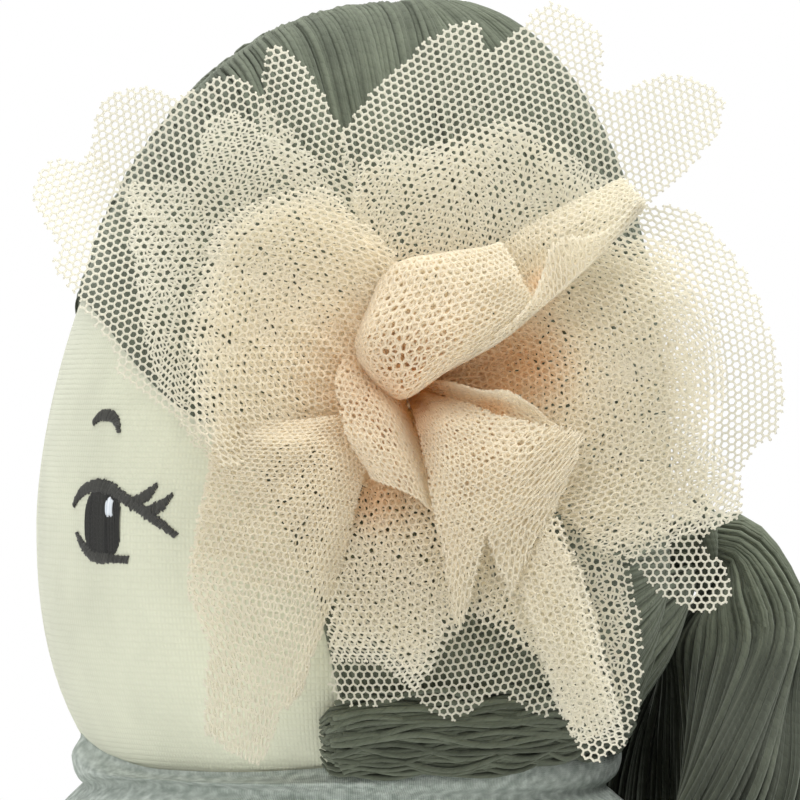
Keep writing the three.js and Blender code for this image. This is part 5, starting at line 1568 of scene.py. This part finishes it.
def arm(side, name):
    """The stuffed arm with a mitten hand."""
    hand = [[90, 8.8, 8.8], [99.5, 7.3, 10.1], [107, 7.5, 11.5], [112, 6.0, 9.3], [115, 3.9, 6.1],
            [116.5, 1.9, 3.0], [117, 0.6, 1]]
    rows, x = arm_rows(side, 0.0, 116.9, 56, 56, hand)
    return surface(f"cloth_arm_{name}", rows, (75, 130), first=[x[0], 0, SHOULDER_Z + ARM["radius"]],
                   last=[x[-1], 0, SHOULDER_Z - ARM["length"]])


def sleeve(side, name):
    """The sleeve: a shell about the arm with soft creases at the elbow."""
    outside = 1.85
    within = 0.4
    outer, x = arm_rows(side, outside, ARM["sleeve"], 64, 72)
    inner, _ = arm_rows(side, within, ARM["sleeve"], 24, 72)
    s = SHOULDER_Z - outer[..., 2]
    a = turn_of(72)[None, :]
    soft = waves(s / 4.5 + 2 * np.cos(a), s / 9 - 2 * np.sin(a), seed=4 + (side > 0), low=0.6, high=1.2)
    swell = 0.75 * soft * smoothstep(s, 6, 24) * (1 - smoothstep(s, 70, 84))
    centre = stack(x[:, None], 0, outer[..., 2])
    outer = outer + unit(outer - centre) * np.clip(swell, -0.7, 0.9)[..., None]
    rows = np.concatenate([outer, inner[::-1]])
    top = SHOULDER_Z + ARM["radius"]
    return surface(f"knit_sleeve_{name}", rows, (85, 190), first=[x[0], 0, top + outside],
                   last=[x[0], 0, top + within])


def cuff(side, name):
    """The turned cuff: a ribbed ring about the sleeve's end."""
    top = SHOULDER_Z - ARM["sleeve"] + ARM["cuff"] * 0.55
    a = turn_of(320)
    profile = [[2.55, 0.03], [2.55, 0.97], [3.2, 1.0], [4.2, 0.99], [4.75, 0.93], [4.75, 0.5], [4.75, 0.07],
               [4.2, 0.01], [3.2, 0.0]]
    out, z = ribbed(profile, 36, 0.25 * np.sin(a * ARM["ribs"]), (3.6, 4.7), top - ARM["cuff"], top)
    arm_half = ARM["radius"] * ARM["end"]
    x = side * (ARM["face"] + arm_drift(SHOULDER_Z - z) + arm_half)
    half = arm_half + out
    rows = stack(x + half * np.cos(a), half * np.sin(a), z)
    return surface(f"ribbed_cuff_{name}", rows, (90, 34), loop=True)


def leg(side, name):
    """The stuffed leg: a soft tube from the ankle to a rounded hip, with creases behind the knee."""
    rings = 56
    hip_rings = 16
    z = np.linspace(LEG["ankle"], 108, rings)
    radius = through([[LEG["ankle"], 10.5], [38, 10.5], [55, 12], [76, 12.6], [98, 13.3], [112, 13.9],
                      [HIP_Z, LEG["hip"]]], z)
    angle = np.linspace(0, 86, hip_rings) * DEG
    high = HIP_Z + LEG["hip"] * np.sin(angle)
    half = LEG["hip"] * np.sqrt(np.cos(angle))
    deep = LEG["hip"] * np.cos(angle)
    x = through([[LEG["ankle"], LEG["x"]], [98, LEG["x"]], [HIP_Z, LEG["hip_x"]]], z)
    x = np.concatenate([x, np.full(hip_rings, LEG["hip_x"])])
    a = turn_of(64)[None]
    soft = waves(3 * np.cos(a) + z[:, None] / 9, 3 * np.sin(a) - z[:, None] / 7, seed=6 + (side > 0))
    rows = ring(a[0], side * x, LEG["y"], np.concatenate([z, high]), np.concatenate([radius, half]),
                np.concatenate([radius, deep]))
    out = unit(rows - stack(side * x, LEG["y"], rows[:, 0, 2])[:, None])
    swell = np.zeros(rows.shape[:2])
    swell[:rings] = 0.4 * soft * (smoothstep(z, 36, 46) * (1 - smoothstep(z, 96, 106)))[:, None]
    return surface(f"twill_leg_{name}", rows + out * swell[..., None], (84, 130),
                   first=foot(side, LEG["ankle"]), last=[side * LEG["hip_x"], LEG["y"], HIP_Z + LEG["hip"]])


def foot(side, z):
    """The middle of a foot at a height."""
    return [side * LEG["x"], LEG["y"], z]


def foot_outline(side, share, z, toe=None, count=96):
    """A shoe's outline: half an oval for the toe and a shorter one for the heel."""
    a = turn_of(count)
    reach = np.where(np.sin(a) < 0, SHOE["toe"] * (share if toe is None else toe), SHOE["heel"] * share)
    return stack(side * LEG["x"] + SHOE["half_width"] * share * np.cos(a), LEG["y"] + reach * np.sin(a), z)


def shoe(side, name):
    """A felt shoe: a rounded upper drawn in to the ankle, with a hollow for the leg and stitches round it."""
    shape = [[4.35, 0.925, 0.925], [4.9, 0.95, 0.95], [8.3, 0.98, 0.98], [13.3, 0.96, 0.96],
             [18.3, 0.9, 0.82], [23.3, 0.84, 0.58]]
    rows = [foot_outline(side, share, z, toe) for z, share, toe in shape]
    neck = SHOE["neck"]
    rims = [[27, 14.4], [29.5, 13.6], [32, 13.3], [33.6, 13.0], [34, 12.4], [33.6, 11.5], [30, neck],
            [20, neck], [9, neck], [8.7, 10.8]]
    rims = [ring(turn_of(96), side * LEG["x"], LEG["y"], z, r, r)[0] for z, r in rims]
    rows = np.concatenate([along(np.stack(rows + rims[:2]), 26), np.stack(rims[2:])])
    body = surface("upper", rows, (110, 80), first=foot(side, 4.35), last=foot(side, 8.7))
    count = 240
    k = np.arange(0, count, 6)
    t = np.linspace(0, 1, 5)[None, :, None]
    low = foot_outline(side, 0.985, 6.0, 0.985, count)[k]
    high = foot_outline(side, 0.992, 10.2, 0.992, count)[(k + 2) % count]
    paths = mix(low[:, None], high[:, None], t)
    out = unit((paths - foot(side, 0)) * [1, 1, 0])
    paths = paths + out * (0.25 * np.sin(np.pi * t))
    shade = np.random.default_rng(3).uniform(0, 1, len(k))
    stitches = tubes("stitches", paths, 0.3, 5, out, shade)
    coat(stitches, "cream")
    coat(body, "shoe")
    return join([body, stitches], f"felt_shoe_{name}")


def sole(side, name):
    """A suede sole: the shoe's outline with a softened edge."""
    profile = [[0.9, 0.0], [0.975, 0.0], [0.995, 0.5], [1.0, 1.2], [1.0, 2.8], [0.995, 3.5], [0.975, 4.0],
               [0.9, 4.0]]
    rows = np.stack([foot_outline(side, s, z) for s, z in profile])
    return surface(f"suede_sole_{name}", rows, (120, 8), first=foot(side, 0), last=foot(side, SHOE["sole"]))


def stuffing_head():
    """The head's stuffing: the egg inside the cloth, with a hollow for the disc."""
    grow = -HEAD["skin"] - GAP
    a = turn_of(64) / DEG
    chin = HEAD_Z - HEAD["chin"] - grow
    z = np.concatenate([chin + (HEAD_Z - chin) * (1 - np.cos(np.linspace(0, 90, 18) * DEG))[:-1],
                        HEAD_Z + (HEAD["rise"] + grow) * np.sin(np.linspace(0, 88, 26) * DEG)])
    body = head_point(a[None], z[:, None], grow)
    rise, r = np.array([[4.45, 1.0], [4.45, 8.1], [4.2, 8.2], [0.3, 8.2], [0, 8.6], [0, 20]]).T
    pocket = ring(a * DEG - math.pi / 2, 0, 0, chin + rise, r, r)
    top = HEAD_Z + HEAD["rise"] + grow
    return surface("stuffed_head", np.concatenate([pocket, body]), (200, 200), first=[0, 0, chin + 4.45],
                   last=[0, float(head_lean(top)), top])


def stuffing_torso():
    """The torso's stuffing: the body's rings and a rounded neck, with a hollow for the neck pin."""
    rows = torso_rows(SWEATER_WALL + GAP, 40, 64)
    a = turn_of(64)
    neck = ring(a, 0, 0, [257, 258.8, 260.4, 261.3, NECK_Z], [28.5, 25, 19.5, 14, 11],
                [27.8, 24.2, 19, 14, 11])
    pocket = ring(a, 0, 0, [261.3, 256.2, 256.1, 254.2], [2.0, 2.0, 6.3, 6.3], [2.0, 2.0, 6.3, 6.3])
    return surface("stuffed_torso", np.concatenate([rows, neck, pocket]), (200, 160),
                   first=[0, 0, TORSO_Z], last=[0, 0, 254.2])


# Sizes and colours that the panel shows

def length_property(name, description, default):
    """A length in metres that the panel shows."""
    return FloatProperty(name=name, description=description, default=default, unit="LENGTH")


class DollSizes(bpy.types.PropertyGroup):
    """Sizes of the threads that the pieces are made of"""
    yarn_width: length_property("Yarn width", "Thickness of one strand of the hair", 0.00112)
    net_pitch: length_property("Net pitch", "Distance between the tulle's hexagons", 0.00133)
    net_strand: length_property("Net thread", "Width of the tulle's threads", 0.00032)
    net_thickness: length_property("Net thickness", "Thickness of the tulle", 0.00037)


def colour_property(name, description, default):
    """A linear colour that the panel shows."""
    return FloatVectorProperty(name=name, description=description, subtype="COLOR", size=3, min=0, max=1,
                               default=default)


class DollColours(bpy.types.PropertyGroup):
    """Colours of the cloth, yarn and thread"""
    skin: colour_property("Skin", "Cloth of the head and hands", srgb(211, 213, 191))
    yarn_deep: colour_property("Yarn shadow", "Between the plies of the hair", srgb(28, 31, 24))
    yarn_dark: colour_property("Yarn dark", "Darker strands of the hair", srgb(51, 55, 45))
    yarn_light: colour_property("Yarn light", "Lighter strands of the hair", srgb(101, 107, 91))
    tulle_rim: colour_property("Tulle rim", "Net where it lies single", srgb(230, 228, 214))
    # Tulle glow is a painted glow of light through gathered net; tulle pit shade is painted shade deep beside
    # the knot.
    tulle_glow: colour_property("Tulle heart", "Net where it is gathered", srgb(250, 241, 221))
    tulle_pit_shade: colour_property("Tulle pit", "Net deep beside the knot", srgb(238, 189, 124))
    jersey_dark: colour_property("Jersey dark", "Dark flecks of the sweater", srgb(142, 154, 144))
    jersey_light: colour_property("Jersey light", "Light flecks of the sweater", srgb(216, 225, 216))
    trousers: colour_property("Trousers", "Twill of the legs", srgb(122, 130, 122))
    eye_dark: colour_property("Eye dark", "Iris thread", srgb(38, 38, 37))
    eye_light: colour_property("Eye light", "Lash and brow thread", srgb(76, 76, 72))


# One operator for each piece or group of like pieces

class MakeHead(bpy.types.Operator):
    """Make the cloth head and its stuffing"""
    bl_idname = "doll.head"
    bl_label = "Head"

    def execute(self, context):
        place(head_skin(), "head", ["head_skin"], "skin")
        fill = place(stuffing_head(), "head", ["head_stuffing"], "stuffing")
        return {"FINISHED"}


class MakeFace(bpy.types.Operator):
    """Embroider the eyes and brows"""
    bl_idname = "doll.face"
    bl_label = "Face"

    def execute(self, context):
        eyes()
        return {"FINISHED"}


class MakeHair(bpy.types.Operator):
    """Lay the yarn hair and the bundles along the nape"""
    bl_idname = "doll.hair"
    bl_label = "Hair"

    def execute(self, context):
        for side, name in SIDES:
            place(hair_half(side, name), "head", [f"hair_{name}"], "yarn")
            place(nape_bundle(side, name), "head", [f"hair_nape_{name}"], "yarn")
        return {"FINISHED"}


class MakePonytail(bpy.types.Operator):
    """Make the ponytail and its tie"""
    bl_idname = "doll.ponytail"
    bl_label = "Ponytail"

    def execute(self, context):
        place(ponytail(), "ponytail", ["ponytail"], "yarn")
        place(hair_tie(), "ponytail", ["hair_tie"], "yarn")
        return {"FINISHED"}


class MakeFlower(bpy.types.Operator):
    """Cut, gather and sew the tulle flower"""
    bl_idname = "doll.flower"
    bl_label = "Flower"

    def execute(self, context):
        place(flower_felt(), "head", ["flower_felt"], "felt")
        place(gather_stitches(), "head", ["flower_stitch"], "cream")
        for maker, table, seed in ((petal, PETALS, 100), (fold, FOLDS, 200)):
            for number, (name, facts) in enumerate(table.items()):
                piece, size, area = maker(name, *facts, seed=seed + number)
                node = f"petal_{name}"
                place(piece, "head", [node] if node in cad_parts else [], "tulle")
        return {"FINISHED"}


class MakeCollar(bpy.types.Operator):
    """Roll the jersey collar"""
    bl_idname = "doll.collar"
    bl_label = "Collar"

    def execute(self, context):
        place(collar(), "torso", ["collar"], "jersey")
        return {"FINISHED"}


class MakeTorso(bpy.types.Operator):
    """Make the sweater's body, its hem, the stuffing and the trouser seat"""
    bl_idname = "doll.torso"
    bl_label = "Torso"

    def execute(self, context):
        place(sweater(), "torso", ["sweater_body"], "jersey")
        place(hem(), "torso", ["hem_band"], "rib")
        fill = place(stuffing_torso(), "torso", ["torso_stuffing"], "stuffing")
        place(seat(), "torso", ["trouser_seat"], "trousers")
        return {"FINISHED"}


class MakeArms(bpy.types.Operator):
    """Make the arms, sleeves and cuffs"""
    bl_idname = "doll.arms"
    bl_label = "Arms"

    def execute(self, context):
        for side, name in SIDES:
            body = f"arm_{name}"
            place(arm(side, name), body, [f"arm_{name}"], "skin")
            place(sleeve(side, name), body, [f"sleeve_{name}"], "jersey")
            place(cuff(side, name), body, [f"cuff_{name}"], "rib")
        return {"FINISHED"}


class MakeLegs(bpy.types.Operator):
    """Make the legs and shoes"""
    bl_idname = "doll.legs"
    bl_label = "Legs"

    def execute(self, context):
        for side, name in SIDES:
            body = f"leg_{name}"
            place(leg(side, name), body, [f"leg_{name}"], "trousers")
            place(shoe(side, name), body, [f"shoe_{name}"])
            place(sole(side, name), body, [f"sole_{name}"], "sole")
        return {"FINISHED"}


class FinishJoints(bpy.types.Operator):
    """Give the joints' discs and pins their materials"""
    bl_idname = "doll.joints"
    bl_label = "Joints"

    def execute(self, context):
        for name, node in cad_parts.items():
            if "disc" in name:
                coat(node, "fibreboard")
            elif "pin" in name.split("_"):
                coat(node, "steel")
        return {"FINISHED"}


class SetStage(bpy.types.Operator):
    """Set up the floor, the soft light and the camera"""
    bl_idname = "doll.stage"
    bl_label = "Stage"

    def execute(self, context):
        context.scene.view_settings.view_transform = "Standard"
        floor()
        world_light()
        soft_lamp("key", (1.1, -0.75, 0.95), 0.9, 7.0)
        soft_lamp("back", (0.2, 0.7, 1.5), 0.9, 9.0)
        soft_lamp("top", (0.15, 0.1, 1.55), 1.2, 16.0)
        soft_lamp("far", (-1.3, -0.3, 0.7), 1.2, 5.0)
        photo_camera()
        return {"FINISHED"}


def floor():
    """A wide pale disc that takes the object's shadow and fades, with distance, into the white surround."""
    r = np.array([2300.0, 1200, 600, 300, 100])
    rows = ring(turn_of(96), 0, 0, np.zeros(5), r, r)
    made = surface("floor", rows, (100, 100), last=[0, 0, 0], outward=False)
    material, tree, shader = new_material("pale floor", 0.9)
    position = object_place(tree)
    paint(shader, blend(noise(position, 40.0, 3.0), srgb(238, 238, 237), srgb(246, 246, 245)))
    away = give(tree, "VectorMath", {0: position}, "Value", operation="LENGTH")
    bounced = 1.0 - give(tree, "LightPath", output="Is Camera Ray")
    feed(shader.inputs["Alpha"], away.ranged(0.25, 0.55, 1.0, 0.0).maths("MAXIMUM", bounced))
    made.data.materials.append(material)


def world_light():
    """A plain white surround to the camera and in reflections, and a softer light on everything else."""
    world = bpy.data.worlds.new("studio")
    bpy.context.scene.world = world
    world.use_nodes = True
    tree = world.node_tree
    camera, glossy, passed = [give(tree, "LightPath", output=f"Is {kind} Ray")
                              for kind in ("Camera", "Glossy", "Transmission")]
    back = tree.nodes["Background"]
    back.inputs["Color"].default_value = (1, 1, 1, 1)
    seen = camera.maths("MAXIMUM", glossy).maths("MAXIMUM", passed)
    feed(back.inputs["Strength"], seen.ranged(0.0, 1.0, 0.62, 1.0))


def soft_lamp(name, spot, size, power):
    """A round lamp aimed at the head's middle."""
    data = bpy.data.lights.new(name, "AREA")
    data.shape = "DISK"
    data.size = size
    data.energy = power
    lamp = bpy.data.objects.new(name, data)
    bpy.context.scene.collection.objects.link(lamp)
    lamp.location = spot
    lamp.rotation_euler = (Vector((0, 0, 0.33)) - Vector(spot)).to_track_quat("-Z", "Y").to_euler()


def photo_camera():
    """The photograph's view: level with the ear, from the doll's left and a little ahead of it."""
    data = bpy.data.cameras.new("photo")
    data.sensor_width = 36
    data.lens = 36 * PHOTO["distance"] / (800 * PHOTO["scale"])
    data.clip_start = 0.05
    camera = bpy.data.objects.new("photo", data)
    bpy.context.scene.collection.objects.link(camera)
    bpy.context.scene.camera = camera
    spot = OUTWARD * PHOTO["distance"] + ACROSS * PHOTO["across"]
    spot[2] = PHOTO["z"]
    camera.location = Vector(spot * MM + AXIS)
    camera.rotation_euler = Vector(-OUTWARD).to_track_quat("-Z", "Y").to_euler()


class DollPanel(bpy.types.Panel):
    """The doll's sizes, colours and steps"""
    bl_idname = "VIEW3D_PT_doll"
    bl_label = "Cloth doll"
    bl_space_type = "VIEW_3D"
    bl_region_type = "UI"
    bl_category = "Doll"

    def draw(self, context):
        for group in (context.scene.doll_sizes, context.scene.doll_colours):
            for key in group.__annotations__:
                self.layout.prop(group, key)
        for step in STEPS:
            self.layout.operator(step.bl_idname)


STEPS = [SetStage, MakeHead, MakeFace, MakeHair, MakePonytail, MakeFlower, MakeCollar, MakeTorso, MakeArms,
         MakeLegs, FinishJoints]


def register():
    for kind in (DollSizes, DollColours, *STEPS, DollPanel):
        bpy.utils.register_class(kind)
    bpy.types.Scene.doll_sizes = PointerProperty(type=DollSizes)
    bpy.types.Scene.doll_colours = PointerProperty(type=DollColours)


def unregister():
    del bpy.types.Scene.doll_sizes
    del bpy.types.Scene.doll_colours
    for kind in (DollPanel, *reversed(STEPS), DollColours, DollSizes):
        bpy.utils.unregister_class(kind)


def main():
    register()
    for step in STEPS:
        group, name = step.bl_idname.split(".")
        getattr(getattr(bpy.ops, group), name)()


if __name__ == "__main__":
    main()
